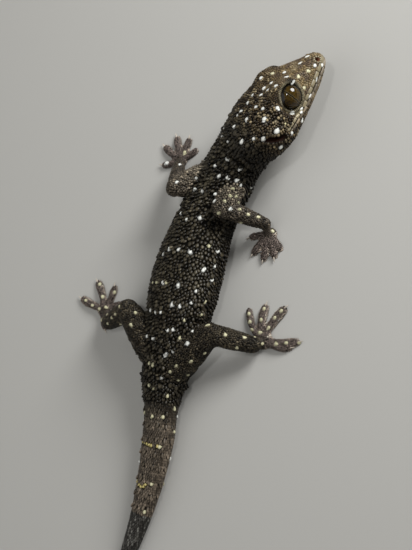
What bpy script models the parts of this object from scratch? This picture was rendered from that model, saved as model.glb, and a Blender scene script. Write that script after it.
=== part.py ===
"""A life-size tokay gecko that lies on its belly, its head turned and tilted up on the right side.

Sizes are in millimetres, and MM turns them into metres where a mesh is made. The origin is on the
belly's resting flat, +Y runs toward the head, +X is the animal's right side and +Z is up.
"""
import math
import random

import bmesh
import bpy
import numpy as np

MM = 0.001
GAP = 0.3
SEED = 11

# Head: its joint with the neck, the way it points, and the length from ear to snout
HEAD_ORIGIN = (12.5, 57.5, 13.2)
HEAD_YAW = 26.0
HEAD_PITCH = -1.0
HEAD_ROLL = 31.0
HEAD_LENGTH = 38.3

# Spine stations from the tail tip to the neck:
# x, y, z of the centre, yaw, roll, half width, rise above the centre, drop below it
SPINE = (
    (0.5, -150.0, 0.7, 11.0, 0.0, 0.55, 0.55, 0.8),
    (3.1, -135.0, 1.5, 10.0, 0.0, 1.7, 1.5, 1.6),
    (5.7, -120.0, 2.2, 8.0, 0.0, 2.6, 2.2, 2.4),
    (7.4, -106.5, 2.9, 5.0, 0.0, 3.4, 2.9, 3.1),
    (8.3, -92.0, 3.7, 1.0, 0.0, 4.4, 3.8, 3.9),
    (8.1, -78.3, 4.4, -3.0, 0.0, 5.4, 4.6, 4.6),
    (6.6, -63.0, 5.1, -8.0, 0.0, 6.4, 5.5, 5.3),
    (4.3, -52.0, 5.4, -11.0, 0.0, 6.7, 5.9, 5.6),
    (2.6, -43.0, 6.2, -9.0, 0.0, 8.3, 7.2, 6.4),
    (1.6, -34.0, 7.0, -4.0, 0.0, 9.4, 8.6, 7.2),
    (1.2, -24.0, 7.7, -3.0, 0.0, 11.0, 9.6, 7.95),
    (0.8, -14.0, 8.2, -4.0, 0.0, 12.8, 10.2, 8.5),
    (0.0, -2.0, 8.4, -3.0, 0.0, 13.7, 10.6, 8.7),
    (-0.2, 10.0, 8.4, 0.0, 0.0, 12.9, 10.5, 8.7),
    (0.5, 22.0, 8.3, 6.0, 0.0, 11.4, 10.2, 8.55),
    (2.5, 33.0, 8.4, 13.0, 1.0, 11.0, 9.9, 8.6),
    (4.8, 42.0, 9.5, 19.0, 8.0, 11.0, 9.5, 9.2),
    (7.2, 48.5, 11.0, 23.0, 18.0, 11.2, 9.2, 8.9),
)

# Head stations from the nape to the snout, in the head's own axes:
# y, height of the mouth line, half width, rise above that line, drop below it
HEAD = (
    (-4.5, 0.4, 12.8, 9.5, 8.7),
    (-1.0, 0.2, 14.2, 10.2, 8.7),
    (3.0, -0.2, 15.4, 11.2, 8.4),
    (8.0, -0.6, 15.4, 12.0, 7.7),
    (14.0, -0.9, 13.8, 12.1, 6.5),
    (20.0, -0.9, 11.6, 11.5, 5.3),
    (25.0, -0.7, 9.6, 9.4, 4.6),
    (29.6, -0.5, 7.3, 7.1, 4.0),
    (33.4, -0.2, 5.2, 5.4, 3.1),
    (36.2, -0.1, 3.5, 4.0, 2.0),
    (37.7, 0.1, 2.0, 2.6, 1.1),
)
SECTION_POWER = 2.2
HEAD_SECTION_POWER = 2.6

# Where the body's lengths part: on the part's Y, and for the nape on the head's
TAIL_BREAK_Y = -91.0
TAIL_ROOT_Y = -45.0
TORSO_END_Y = 36.0
HEAD_START_Y = -3.0

# Head forms: centre in the head's axes (right side, mirrored), reach along x, y and z, height
HEAD_FORMS = {
    "brow": ((7.6, 19.2, 9.4), (3.6, 5.4, 3.2), 2.6),
    "cheek": ((13.0, 5.0, 3.0), (4.0, 5.0, 4.5), 0.7),
    "orbit": ((11.4, 20.0, 4.4), (2.6, 4.4, 3.2), -0.8),
    "canthus": ((4.6, 28.5, 6.0), (2.2, 5.0, 2.2), 0.5),
    "lore": ((7.0, 28.0, 2.6), (2.5, 4.0, 2.0), -0.5),
    "muzzle": ((3.2, 35.0, 2.6), (1.8, 2.2, 1.8), 0.4),
}
MIDLINE_FORMS = {
    "crown hollow": ((0.0, 20.0, 10.0), (3.2, 7.0, 4.0), -1.1),
    "snout hollow": ((0.0, 29.0, 7.0), (2.2, 4.0, 4.0), -0.4),
}

# Mouth line: from the corner to the snout, cut in between two lips
MOUTH_CORNER_Y = 9.5
MOUTH_DEPTH = 0.55
MOUTH_FULL_WIDTH = 6.0
LIP_SWELL = 0.25
GROOVE_HALF_ANGLE = 1.0
LIP_HALF_ANGLE = 4.0

# Eyes, with the rim of skin that stands round each
EYE_CENTRE = (7.1, 18.9, 4.6)
EYE_RADIUS = 5.2
EYE_AXIS = (0.93, 0.16, 0.2)
# Lid opening: its half length and half width, and how far its long way leans toward the snout
LID_OPENING = (4.7, 3.8)
LID_LEAN = 37.0
LID_THICKNESS = 0.7
LID_LOWEST = 2.1
LID_RINGS = 18
LID_SIDES = 6
EYE_ROWS = 9
EYE_SIDES = 16

# Ear cups and nostrils, as centre, half sizes, and tilt in the side of the head
EAR_CENTRE = (15.2, 4.6, 2.2)
EAR_SIZE = (2.4, 0.95, 3.8)
EAR_TILT = 47.0
NOSTRIL_CENTRE = (3.1, 35.6, 3.0)
NOSTRIL_SIZE = (1.1, 0.8, 0.7)
NOSTRIL_AXES = ((0.8, 0.5, 0.3), (-0.5, 0.8, 0.0), (0.0, 0.0, 1.0))
NOSTRIL_ROWS = 5
NOSTRIL_SIDES = 7

# Tubercles, as height and radius of each cone
TUBERCLE_SINK = 0.5
TUBERCLE_SIDES = 6
BACK_TUBERCLE = (0.8, 0.95)
NAPE_TUBERCLE = (0.65, 0.8)
CROWN_TUBERCLE = (0.45, 0.65)
CROWN_ROW_ANGLES = (48, 68, 90, 112, 132)
TAIL_TUBERCLE = (1.0, 0.85)
LIMB_TUBERCLE = (0.5, 0.65)
BACK_ROW_STEP = 4.3
BACK_ROW_ANGLES = (20, 38, 54, 69, 83, 97, 111, 126, 142, 160)
TAIL_WHORL_STEP = 5.4
TAIL_WHORL_COUNT = 8
TAIL_WHORL_ANGLES = (14, 44, 73, 107, 136, 166)
TAIL_FIRST_WHORL = 2.4
TUBERCLE_LOWEST = 3.0
TUBERCLE_CLEARANCE = 0.8
BACK_LEAN = 0.35
WHORL_LEAN = 0.7
ROW_SHIFT = 0.25
ROW_WANDER = 0.4
ANGLE_WANDER = 2.0
SIZE_CHANGE = 0.15
BACK_MARGINS = (4.0, 2.0)
NAPE_MARGINS = (1.5, 1.0)
CROWN_MARGIN = 1.0
CROWN_FRONT_Y = 13.0
NAPE_STEP_SHARE = 0.85
CROWN_STEP_SHARE = 0.8
LIMB_ROW_ANGLES = (-55, 0, 55)
LIMB_ROW_STEP = 4.6
LIMB_ROW_START = 0.8
LIMB_ANGLE_WANDER = 8.0

# Limbs: start, bend, end and the half widths there
ARM_RADII = (5.0, 4.1, 3.7, 2.5)
LEG_RADII = (6.8, 4.5, 4.1, 3.3)
LIMBS = {
    "arm_right": ((9.5, 38.5, 11.0), (10.6, 28.0, 18.6), (22.8, 27.5, 4.8)),
    "arm_left": ((-4.0, 39.5, 10.5), (-12.4, 31.0, 15.0), (-20.0, 40.5, 5.0)),
    "leg_right": ((6.0, -34.5, 8.0), (18.4, -17.8, 13.6), (32.4, -17.1, 4.7)),
    "leg_left": ((-4.5, -31.0, 8.2), (-18.8, -19.2, 11.6), (-29.6, -26.4, 4.8)),
}
# Rounded end of a limb length, as share of the radius behind the joint and of the width there
LIMB_END = ((0.92, 0.38), (0.65, 0.76), (0.0, 1.0))
# Where the flesh swells between two joints, as share of the length and swelling of the width
LIMB_MUSCLE = ((0.25, 1.05), (0.5, 1.07), (0.75, 1.03))
LIMB_NODES = {
    "arm_right": ("upper_arm_right", "forearm_right", "hand_right"),
    "arm_left": ("upper_arm_left", "forearm_left", "hand_left"),
    "leg_right": ("thigh_right", "shin_right", "foot_right"),
    "leg_left": ("thigh_left", "shin_left", "foot_left"),
}

# Feet: palm centre, palm half size, then for each toe its heading from +X, length, half width and
# the turn from that heading at which it leaves the palm
FEET = {
    "arm_right": ((24.0, 24.1), 3.4, ((-36, 8.0, 1.5, 14), (-60, 9.6, 1.7, 8),
                                      (-87, 10.4, 1.8, 0), (-116, 10.2, 1.75, -8),
                                      (-157, 8.6, 1.6, -14))),
    "arm_left": ((-22.4, 43.2), 3.4, ((48, 8.4, 1.5, -14), (86, 9.8, 1.7, -8),
                                      (120, 10.6, 1.8, 0), (156, 10.4, 1.75, 8),
                                      (204, 8.8, 1.6, 14))),
    "leg_right": ((34.4, -14.4), 3.9, ((134, 14.2, 1.65, 32), (104, 13.6, 2.05, 24),
                                       (72, 15.0, 2.15, 14), (15, 14.6, 1.95, -12),
                                       (3, 11.6, 1.65, -25))),
    "leg_left": ((-35.6, -22.6), 3.9, ((28, 9.5, 1.55, 20), (86, 10.6, 1.7, -14),
                                       (128, 12.8, 1.95, -8), (174, 13.2, 2.0, 10),
                                       (290, 8.4, 1.6, -25))),
}
PALM_HEIGHT = 2.7
PALM_CENTRE_HEIGHT = 0.2
FOOT_SINK = 0.4
TOE_PROFILE = ((0.0, 0.9, 2.4), (0.3, 0.78, 2.2), (0.5, 0.84, 2.0), (0.74, 1.0, 1.7),
               (0.91, 0.86, 1.4), (1.0, 0.45, 0.9))
# Half of a toe's cross section, as share of the width and of the height; None is the underside
TOE_SECTION = ((0.8, None), (1.0, 0.3), (0.6, 0.86), (0.0, 1.0), (-0.6, 0.86), (-1.0, 0.3),
               (-0.8, None))
CLAW_LENGTH = 1.5
CLAW_RADIUS = 0.4
CLAW_SINK = 0.5
CLAW_HEIGHT = 0.62
INSTEP_SHARE = 0.85

# The floor that the underside is cut to, and what the limbs are cut clear of
FLOOR_WIDTH = 400.0
FLOOR_DEPTH = 6.0
TRUNK_START_Y = -53.0
TRUNK_END_Y = 2.0

# Mesh fineness
BODY_SIDES = 24
TAIL_SIDES = 14
RING_STEP = 4.2
HEAD_RING_STEP = 2.2
HEAD_ANGLES = (0, 2.5, 12, 28, 45, 61, 76, 90, 104, 119, 135, 152, 168, 177.5,
               180, 182.5, 196, 216, 242, 270, 298, 324, 344, 357.5)
LIMB_SIDES = 10
EGG_ROWS = 7
EGG_SIDES = 10
WELD = 0.001

# Colours, as red, green and blue
SKIN_DARK = (0.035, 0.033, 0.028)
SKIN_OLIVE = (0.075, 0.062, 0.038)
SKIN_LIMB = (0.085, 0.066, 0.058)
SKIN_TAIL = (0.075, 0.062, 0.055)
SKIN_REGROWN = (0.05, 0.047, 0.046)
EYE_BROWN = (0.09, 0.055, 0.015)
SKIN_ROUGHNESS = 0.55
EYE_ROUGHNESS = 0.1


def clear_scene():
    for item in list(bpy.data.objects):
        bpy.data.objects.remove(item, do_unlink=True)


def material(name, colour, roughness):
    made = bpy.data.materials.new(name)
    made.use_nodes = True
    shader = made.node_tree.nodes["Principled BSDF"]
    shader.inputs["Base Color"].default_value = (*colour, 1.0)
    shader.inputs["Roughness"].default_value = roughness
    shader.inputs["Metallic"].default_value = 0.0
    return made


def mesh_object(name, points, faces):
    """Makes an object from points in millimetres, with its faces turned outward."""
    mesh = bpy.data.meshes.new(name)
    mesh.from_pydata([tuple(value * MM for value in point) for point in points], [], faces)
    shape = bmesh.new()
    shape.from_mesh(mesh)
    bmesh.ops.recalc_face_normals(shape, faces=shape.faces)
    bmesh.ops.triangulate(shape, faces=shape.faces)
    shape.to_mesh(mesh)
    shape.free()
    made = bpy.data.objects.new(name, mesh)
    bpy.context.scene.collection.objects.link(made)
    return made


def combine(target, pieces, operation, solver="EXACT"):
    """Fuses pieces into the target, or cuts them out of it, and removes them."""
    group = bpy.data.collections.new("pieces")
    bpy.context.scene.collection.children.link(group)
    for piece in pieces:
        bpy.context.scene.collection.objects.unlink(piece)
        group.objects.link(piece)
    step = target.modifiers.new("combine", "BOOLEAN")
    step.operation = operation
    step.operand_type = "COLLECTION"
    step.collection = group
    step.solver = solver
    view = bpy.context.evaluated_depsgraph_get()
    result = bpy.data.meshes.new_from_object(target.evaluated_get(view))
    target.modifiers.clear()
    target.data = result
    for piece in pieces:
        bpy.data.objects.remove(piece, do_unlink=True)
    bpy.data.collections.remove(group)
    keep_largest(target)


def keep_largest(target):
    """Keeps the closed surface with the most faces and drops loose scraps."""
    shape = bmesh.new()
    shape.from_mesh(target.data)
    bmesh.ops.remove_doubles(shape, verts=shape.verts, dist=WELD * MM)
    bmesh.ops.triangulate(shape, faces=shape.faces)
    left = set(shape.faces)
    islands = []
    while left:
        seed = left.pop()
        island = {seed}
        edge_of_growth = [seed]
        while edge_of_growth:
            face = edge_of_growth.pop()
            for edge in face.edges:
                for other in edge.link_faces:
                    if other in left:
                        left.remove(other)
                        island.add(other)
                        edge_of_growth.append(other)
        islands.append(island)
    islands.sort(key=len)
    for island in islands[:-1]:
        bmesh.ops.delete(shape, geom=list(island), context="FACES")
    loose = [point for point in shape.verts if not point.link_faces]
    bmesh.ops.delete(shape, geom=loose, context="VERTS")
    shape.to_mesh(target.data)
    shape.free()


def axes(yaw, pitch, roll):
    """Side, forward and up directions for angles in degrees; roll lifts the right side."""
    turn, lift, lean = (math.radians(value) for value in (yaw, pitch, roll))
    forward = np.array((math.sin(turn) * math.cos(lift), math.cos(turn) * math.cos(lift),
                        math.sin(lift)))
    level = np.array((math.cos(turn), -math.sin(turn), 0.0))
    above = np.cross(level, forward)
    side = level * math.cos(lean) + above * math.sin(lean)
    return side, forward, above * math.cos(lean) - level * math.sin(lean)


HEAD_SIDE, HEAD_FORWARD, HEAD_UP = axes(HEAD_YAW, HEAD_PITCH, HEAD_ROLL)


def from_head(point):
    """Takes a point from the head's own axes to the part's."""
    return (np.array(HEAD_ORIGIN) + HEAD_SIDE * point[0] + HEAD_FORWARD * point[1]
            + HEAD_UP * point[2])


def to_head(point):
    offset = np.asarray(point) - np.array(HEAD_ORIGIN)
    return np.array((offset @ HEAD_SIDE, offset @ HEAD_FORWARD, offset @ HEAD_UP))


def body_rows():
    """All stations from tail tip to snout as centre, yaw, pitch, roll, width, rise, drop and power."""
    rows = [(x, y, z, yaw, 0.0, roll, width, rise, drop, SECTION_POWER)
            for x, y, z, yaw, roll, width, rise, drop in SPINE]
    for y, line, width, rise, drop in HEAD:
        centre = from_head((0.0, y, line))
        rows.append((*centre, HEAD_YAW, HEAD_PITCH, HEAD_ROLL, width, rise, drop,
                     HEAD_SECTION_POWER))
    return np.array(rows)


ROWS = body_rows()
ARC = np.concatenate(((0.0,), np.cumsum(np.linalg.norm(np.diff(ROWS[:, :3], axis=0), axis=1))))


def station(arc):
    """Smooth curve through the stations, read at a length along the spine."""
    index = int(np.clip(np.searchsorted(ARC, arc) - 1, 0, len(ARC) - 2))
    span = ARC[index + 1] - ARC[index]
    part = (arc - ARC[index]) / span
    slopes = []
    for at in (index, index + 1):
        low, high = max(at - 1, 0), min(at + 1, len(ARC) - 1)
        slopes.append((ROWS[high] - ROWS[low]) / (ARC[high] - ARC[low]) * span)
    square, cube = part * part, part ** 3
    return (ROWS[index] * (2 * cube - 3 * square + 1) + slopes[0] * (cube - 2 * square + part)
            + ROWS[index + 1] * (3 * square - 2 * cube) + slopes[1] * (cube - square))


def arc_at_y(y):
    """Length along the spine at which its centre passes y, behind the head."""
    spine = len(SPINE)
    return float(np.interp(y, ROWS[:spine, 1], ARC[:spine]))


def head_arc(y):
    """Length along the spine at a station y of the head's own axes."""
    spine = len(SPINE)
    return float(np.interp(y, [row[0] for row in HEAD], ARC[spine:]))


def bump(local, centre, reach):
    offset = (np.asarray(local) - np.array(centre)) / np.array(reach)
    return math.exp(-float(offset @ offset))


def head_form(local):
    """How far the head's surface swells out at a point in the head's axes."""
    mirrored = (abs(local[0]), local[1], local[2])
    swell = sum(height * bump(mirrored, centre, reach)
                for centre, reach, height in HEAD_FORMS.values())
    return swell + sum(height * bump(local, centre, reach)
                       for centre, reach, height in MIDLINE_FORMS.values())


def mouth_form(local, angle, width):
    """The mouth's groove at the section's widest line, and the lips above and below it."""
    if local[1] < MOUTH_CORNER_Y:
        return 0.0
    scale = min(1.0, width / MOUTH_FULL_WIDTH)
    from_line = min(angle % 180, 180 - angle % 180)
    if from_line < GROOVE_HALF_ANGLE:
        return -MOUTH_DEPTH * scale
    return LIP_SWELL * scale if from_line < LIP_HALF_ANGLE else 0.0


def surface(arc, angle, grow=0.0):
    """A point on the body and its outward direction in the section's plane."""
    x, y, z, yaw, pitch, roll, width, rise, drop, section = station(arc)
    side, forward, up = axes(yaw, pitch, roll)
    across, high = math.cos(math.radians(angle)), math.sin(math.radians(angle))
    power = 2.0 / section
    height = rise if high >= 0 else drop
    lateral = (width + grow) * math.copysign(abs(across) ** power, across)
    vertical = (height + grow) * math.copysign(abs(high) ** power, high)
    centre = np.array((x, y, z))
    outward = side * (lateral / width ** 2) + up * (vertical / height ** 2)
    outward = outward / np.linalg.norm(outward)
    point = centre + side * lateral + up * vertical
    if arc > head_arc(HEAD[0][0]):
        local = to_head(point)
        point = point + outward * (head_form(local) + mouth_form(local, angle, width))
    return point, outward


def tube(name, rings, tip=None):
    """Skins a list of rings, each a list of points, and closes both ends."""
    sides = len(rings[0])
    points = [point for ring in rings for point in ring]
    faces = []
    for row in range(len(rings) - 1):
        for at in range(sides):
            after = (at + 1) % sides
            low, high = row * sides, (row + 1) * sides
            faces.append((low + at, low + after, high + after))
            faces.append((low + at, high + after, high + at))
    points.append(np.mean(rings[0], axis=0))
    first = len(points) - 1
    points.append(np.mean(rings[-1], axis=0) if tip is None else tip)
    last = len(points) - 1
    end = (len(rings) - 1) * sides
    for at in range(sides):
        after = (at + 1) % sides
        faces.append((after, at, first))
        faces.append((end + at, end + after, last))
    return mesh_object(name, points, faces)


def body_length(name, start, stop, step, angles, grow=0.0, tip=None):
    """One length of the body from the start to the stop along the spine."""
    count = max(2, round((stop - start) / step) + 1)
    rings = [[surface(arc, angle, grow)[0] for angle in angles]
             for arc in np.linspace(start, stop, count)]
    return tube(name, rings, tip)


def even_angles(count):
    return [360.0 * at / count for at in range(count)]


def floor_slab():
    """A slab whose top is the floor; what reaches below the floor is cut with it."""
    reach = FLOOR_WIDTH / 2
    points = [(x, y, z) for z in (-FLOOR_DEPTH, 0.0) for y in (-reach, reach)
              for x in (-reach, reach)]
    faces = ((0, 2, 3, 1), (4, 5, 7, 6), (0, 1, 5, 4), (2, 6, 7, 3), (0, 4, 6, 2), (1, 3, 7, 5))
    return mesh_object("floor", points, faces)


def ellipsoid(name, centre, sizes, turned, rows=EGG_ROWS, sides=EGG_SIDES):
    """A closed egg shape with its half sizes along three directions."""
    rings = []
    for row in range(1, rows):
        lean = math.pi * row / rows
        ring = []
        for at in range(sides):
            turn = 2 * math.pi * at / sides
            ring.append(np.array(centre) + turned[2] * sizes[2] * math.cos(lean)
                        + turned[0] * sizes[0] * math.sin(lean) * math.cos(turn)
                        + turned[1] * sizes[1] * math.sin(lean) * math.sin(turn))
        rings.append(ring)
    made = tube(name, rings)
    made.data.vertices[-2].co = tuple((np.array(centre) + turned[2] * sizes[2]) * MM)
    made.data.vertices[-1].co = tuple((np.array(centre) - turned[2] * sizes[2]) * MM)
    return made


def perpendicular(direction):
    """Two directions at right angles to the first and to each other."""
    helper = np.array((0.0, 0.0, 1.0)) if abs(direction[2]) < 0.9 else np.array((1.0, 0.0, 0.0))
    first = np.cross(direction, helper)
    first = first / np.linalg.norm(first)
    return first, np.cross(direction, first)


def cone(centre, direction, radius, height, sink):
    """A low cone with its root sunk in the skin; the radius is the one at the skin."""
    first, second = perpendicular(direction)
    centre = np.asarray(centre)
    radius = radius * (height + sink) / height
    points = []
    for at in range(TUBERCLE_SIDES):
        turn = 2 * math.pi * at / TUBERCLE_SIDES
        points.append(centre - direction * sink
                      + (first * math.cos(turn) + second * math.sin(turn)) * radius)
    points.append(centre + direction * height)
    faces = [(at, (at + 1) % TUBERCLE_SIDES, TUBERCLE_SIDES) for at in range(TUBERCLE_SIDES)]
    faces.append(tuple(reversed(range(TUBERCLE_SIDES))))
    return mesh_object("tubercle", points, faces)


def mirrored(point, side):
    return np.array((point[0] * side, point[1], point[2]))


def head_direction(direction, side):
    along = mirrored(direction, side)
    turned = HEAD_SIDE * along[0] + HEAD_FORWARD * along[1] + HEAD_UP * along[2]
    return turned / np.linalg.norm(turned)


def eyeball(name, side, radius):
    centre = from_head(mirrored(EYE_CENTRE, side))
    outward = head_direction(EYE_AXIS, side)
    first, second = perpendicular(outward)
    return ellipsoid(name, centre, (radius,) * 3, (first, second, outward),
                     EYE_ROWS, EYE_SIDES)


def lid(side):
    """The rim of skin that hugs the eye round an oval opening."""
    outward = head_direction(EYE_AXIS, side)
    level = HEAD_FORWARD - outward * (HEAD_FORWARD @ outward)
    level = level / np.linalg.norm(level)
    upward = np.cross(outward, level) * side
    lean = math.radians(LID_LEAN)
    lengthwise = upward * math.cos(lean) + level * math.sin(lean)
    crosswise = level * math.cos(lean) - upward * math.sin(lean)
    centre = from_head(mirrored(EYE_CENTRE, side))
    points = []
    faces = []
    for row in range(LID_RINGS):
        turn = 2 * math.pi * row / LID_RINGS
        away = lengthwise * math.cos(turn) + crosswise * math.sin(turn)
        opening = 1 / math.hypot(math.cos(turn) / LID_OPENING[0], math.sin(turn) / LID_OPENING[1])
        reach = opening + LID_THICKNESS
        rise = max(LID_LOWEST, math.sqrt(max(EYE_RADIUS ** 2 - reach ** 2, 0.0)))
        for at in range(LID_SIDES):
            tilt = 2 * math.pi * at / LID_SIDES
            points.append(centre + away * (reach + LID_THICKNESS * math.cos(tilt))
                          + outward * (rise + LID_THICKNESS * math.sin(tilt)))
            here, after = row * LID_SIDES, (row + 1) % LID_RINGS * LID_SIDES
            beside = (at + 1) % LID_SIDES
            faces.append((here + at, after + at, after + beside, here + beside))
    return mesh_object("lid", points, faces)


def limb_distance(point):
    """Clear distance from a point to the nearest limb, with the limb's thickness taken off."""
    nearest = math.inf
    for limb, joints in LIMBS.items():
        radii = ARM_RADII if limb.startswith("arm") else LEG_RADII
        for start, stop, low, high in ((joints[0], joints[1], radii[0], radii[1]),
                                       (joints[1], joints[2], radii[2], radii[3])):
            start, stop = np.array(start), np.array(stop)
            along = stop - start
            part = float(np.clip((point - start) @ along / (along @ along), 0.0, 1.0))
            gap = np.linalg.norm(point - start - along * part) - (low + (high - low) * part)
            nearest = min(nearest, gap)
    return nearest


def tubercle_at(arc, angle, size, draw, lean):
    """A cone at a place on the body, tipped a little toward the tail."""
    point, outward = surface(arc, angle)
    near_limb = limb_distance(point) < size[1] + TUBERCLE_CLEARANCE
    if near_limb or point[2] < TUBERCLE_LOWEST:
        return None
    forward = axes(*station(arc)[3:6])[1]
    direction = outward - forward * lean
    direction = direction / np.linalg.norm(direction)
    scale = draw.uniform(1.0 - SIZE_CHANGE, 1.0 + SIZE_CHANGE)
    return cone(point, direction, size[1] * scale, size[0] * scale, TUBERCLE_SINK)


def tubercle_rows(start, stop, step, angles, size, draw):
    """Staggered cross rows of tubercles."""
    pieces = []
    count = max(1, round((stop - start) / step))
    for row in range(count):
        arc = start + (row + 0.5) * (stop - start) / count
        shift = (angles[1] - angles[0]) * (ROW_SHIFT if row % 2 else -ROW_SHIFT)
        for angle in angles:
            turned = angle + shift + draw.uniform(-ANGLE_WANDER, ANGLE_WANDER)
            piece = tubercle_at(arc + draw.uniform(-ROW_WANDER, ROW_WANDER), turned, size, draw,
                                BACK_LEAN)
            if piece:
                pieces.append(piece)
    return pieces


def tail_whorls(draw):
    """Six tubercles on each ring of the first tail."""
    pieces = []
    first = arc_at_y(TAIL_BREAK_Y) + TAIL_FIRST_WHORL
    for whorl in range(TAIL_WHORL_COUNT):
        arc = first + whorl * TAIL_WHORL_STEP
        for angle in TAIL_WHORL_ANGLES:
            piece = tubercle_at(arc, angle, TAIL_TUBERCLE, draw, WHORL_LEAN)
            if piece:
                pieces.append(piece)
    return pieces


def limb_length(name, start, stop, low, high, grow=0.0):
    """A round-ended tapered limb length."""
    start, stop = np.array(start), np.array(stop)
    along = (stop - start) / np.linalg.norm(stop - start)
    first, second = perpendicular(along)
    length = np.linalg.norm(stop - start)
    rings = []
    for back, part in LIMB_END:
        rings.append((start - along * low * back, (low + grow) * part))
    for part, swelling in LIMB_MUSCLE:
        rings.append((start + along * length * part,
                      (low + (high - low) * part) * swelling + grow))
    for beyond, part in reversed(LIMB_END):
        rings.append((stop + along * high * beyond, (high + grow) * part))
    loops = [[centre + (first * math.cos(turn) + second * math.sin(turn)) * radius
              for turn in (2 * math.pi * at / LIMB_SIDES for at in range(LIMB_SIDES))]
             for centre, radius in rings]
    made = tube(name, loops, stop + along * (high + grow))
    made.data.vertices[-2].co = tuple((start - along * (low + grow)) * MM)
    return made


def limb_tubercles(start, stop, low, high, draw):
    """Cones along the upper side of a limb length."""
    start, stop = np.array(start), np.array(stop)
    length = np.linalg.norm(stop - start)
    along = (stop - start) / length
    across = np.cross(along, (0.0, 0.0, 1.0))
    across = across / np.linalg.norm(across)
    above = np.cross(across, along)
    pieces = []
    count = int(length / LIMB_ROW_STEP)
    for row in range(count):
        part = (row + LIMB_ROW_START) / count
        radius = low + (high - low) * part
        for angle in LIMB_ROW_ANGLES:
            turn = math.radians(angle + draw.uniform(-LIMB_ANGLE_WANDER, LIMB_ANGLE_WANDER))
            away = above * math.cos(turn) + across * math.sin(turn)
            place = start + along * length * part + away * radius
            pieces.append(cone(place, away, LIMB_TUBERCLE[1], LIMB_TUBERCLE[0], TUBERCLE_SINK))
    return pieces


def toe_path(centre, heading, length, bend, part):
    """A place on a toe's middle line and the way that it runs there."""
    turn, away = math.radians(heading), math.radians(heading + bend)
    tip = np.array((math.cos(turn), math.sin(turn), 0.0)) * length
    middle = np.array((math.cos(away), math.sin(away), 0.0)) * length / 2
    place = middle * 2 * part * (1 - part) + tip * part ** 2
    way = middle * (1 - 2 * part) + tip * part
    return np.array((*centre, 0.0)) + place, way / np.linalg.norm(way)


def toe(centre, heading, length, width, bend):
    """A toe that widens into its pad, with its underside just below the floor's level."""
    above = np.array((0.0, 0.0, 1.0))
    rings = []
    for part, wide, high in TOE_PROFILE:
        place, way = toe_path(centre, heading, length, bend, part)
        across = np.cross(above, way)
        rings.append([place + across * width * wide * side
                      + above * (-FOOT_SINK if level is None else level * high)
                      for side, level in TOE_SECTION])
    return tube("toe", rings)


def claw(centre, heading, length, bend):
    """A short claw at the end of a toe."""
    tip, way = toe_path(centre, heading, length, bend, 1.0)
    root = tip - way * CLAW_SINK + np.array((0.0, 0.0, CLAW_HEIGHT))
    return cone(root, way, CLAW_RADIUS, CLAW_LENGTH + CLAW_SINK, CLAW_SINK)


def foot(name, limb, ankle):
    """Palm, five toes and four claws in one piece, with the instep that carries them."""
    centre, palm, toes = FEET[limb]
    above = np.array((0.0, 0.0, 1.0))
    turned = (np.array((1.0, 0.0, 0.0)), np.array((0.0, 1.0, 0.0)), above)
    made = ellipsoid(name, (*centre, PALM_CENTRE_HEIGHT), (palm, palm, PALM_HEIGHT), turned)
    instep = ankle * INSTEP_SHARE
    pieces = [limb_length("instep", LIMBS[limb][2], (*centre, PALM_HEIGHT / 2), instep,
                          PALM_HEIGHT / 2)]
    for at, (heading, length, width, bend) in enumerate(toes):
        pieces.append(toe(centre, heading, length, width, bend))
        if at > 0:
            pieces.append(claw(centre, heading, length, bend))
    combine(made, pieces, "UNION")
    return made


def build_body():
    """The lengths of the body, from head to tail."""
    draw = random.Random(SEED)
    cuts = {
        "break": arc_at_y(TAIL_BREAK_Y),
        "root": arc_at_y(TAIL_ROOT_Y),
        "shoulder": arc_at_y(TORSO_END_Y),
        "nape": head_arc(HEAD_START_Y),
    }
    half = GAP / 2
    last = len(SPINE) + len(HEAD) - 1
    made = {}
    made["tail_regrown"] = body_length("tail_regrown", 0.0, cuts["break"] - half, RING_STEP,
                                       even_angles(TAIL_SIDES))
    made["tail"] = body_length("tail", cuts["break"] + half, cuts["root"] - half,
                               TAIL_WHORL_STEP / 2, even_angles(TAIL_SIDES))
    made["torso"] = body_length("torso", cuts["root"] + half, cuts["shoulder"] - half,
                                RING_STEP, even_angles(BODY_SIDES))
    made["neck"] = body_length("neck", cuts["shoulder"] + half, cuts["nape"] - half,
                               RING_STEP, even_angles(BODY_SIDES))
    made["head"] = body_length("head", cuts["nape"] + half, ARC[last], HEAD_RING_STEP,
                               HEAD_ANGLES, tip=from_head((0.0, HEAD_LENGTH, 0.0)))
    combine(made["tail"], tail_whorls(draw), "UNION")
    back = tubercle_rows(cuts["root"] + BACK_MARGINS[0], cuts["shoulder"] - BACK_MARGINS[1],
                         BACK_ROW_STEP, BACK_ROW_ANGLES, BACK_TUBERCLE, draw)
    combine(made["torso"], back, "UNION")
    nape = tubercle_rows(cuts["shoulder"] + NAPE_MARGINS[0], cuts["nape"] - NAPE_MARGINS[1],
                         BACK_ROW_STEP * NAPE_STEP_SHARE, BACK_ROW_ANGLES, NAPE_TUBERCLE, draw)
    combine(made["neck"], nape, "UNION")
    crown = tubercle_rows(cuts["nape"] + CROWN_MARGIN, head_arc(CROWN_FRONT_Y),
                          BACK_ROW_STEP * CROWN_STEP_SHARE, CROWN_ROW_ANGLES, CROWN_TUBERCLE,
                          draw)
    combine(made["head"], crown, "UNION")
    for name in ("tail_regrown", "tail", "torso"):
        combine(made[name], [floor_slab()], "DIFFERENCE")
    return made


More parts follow.
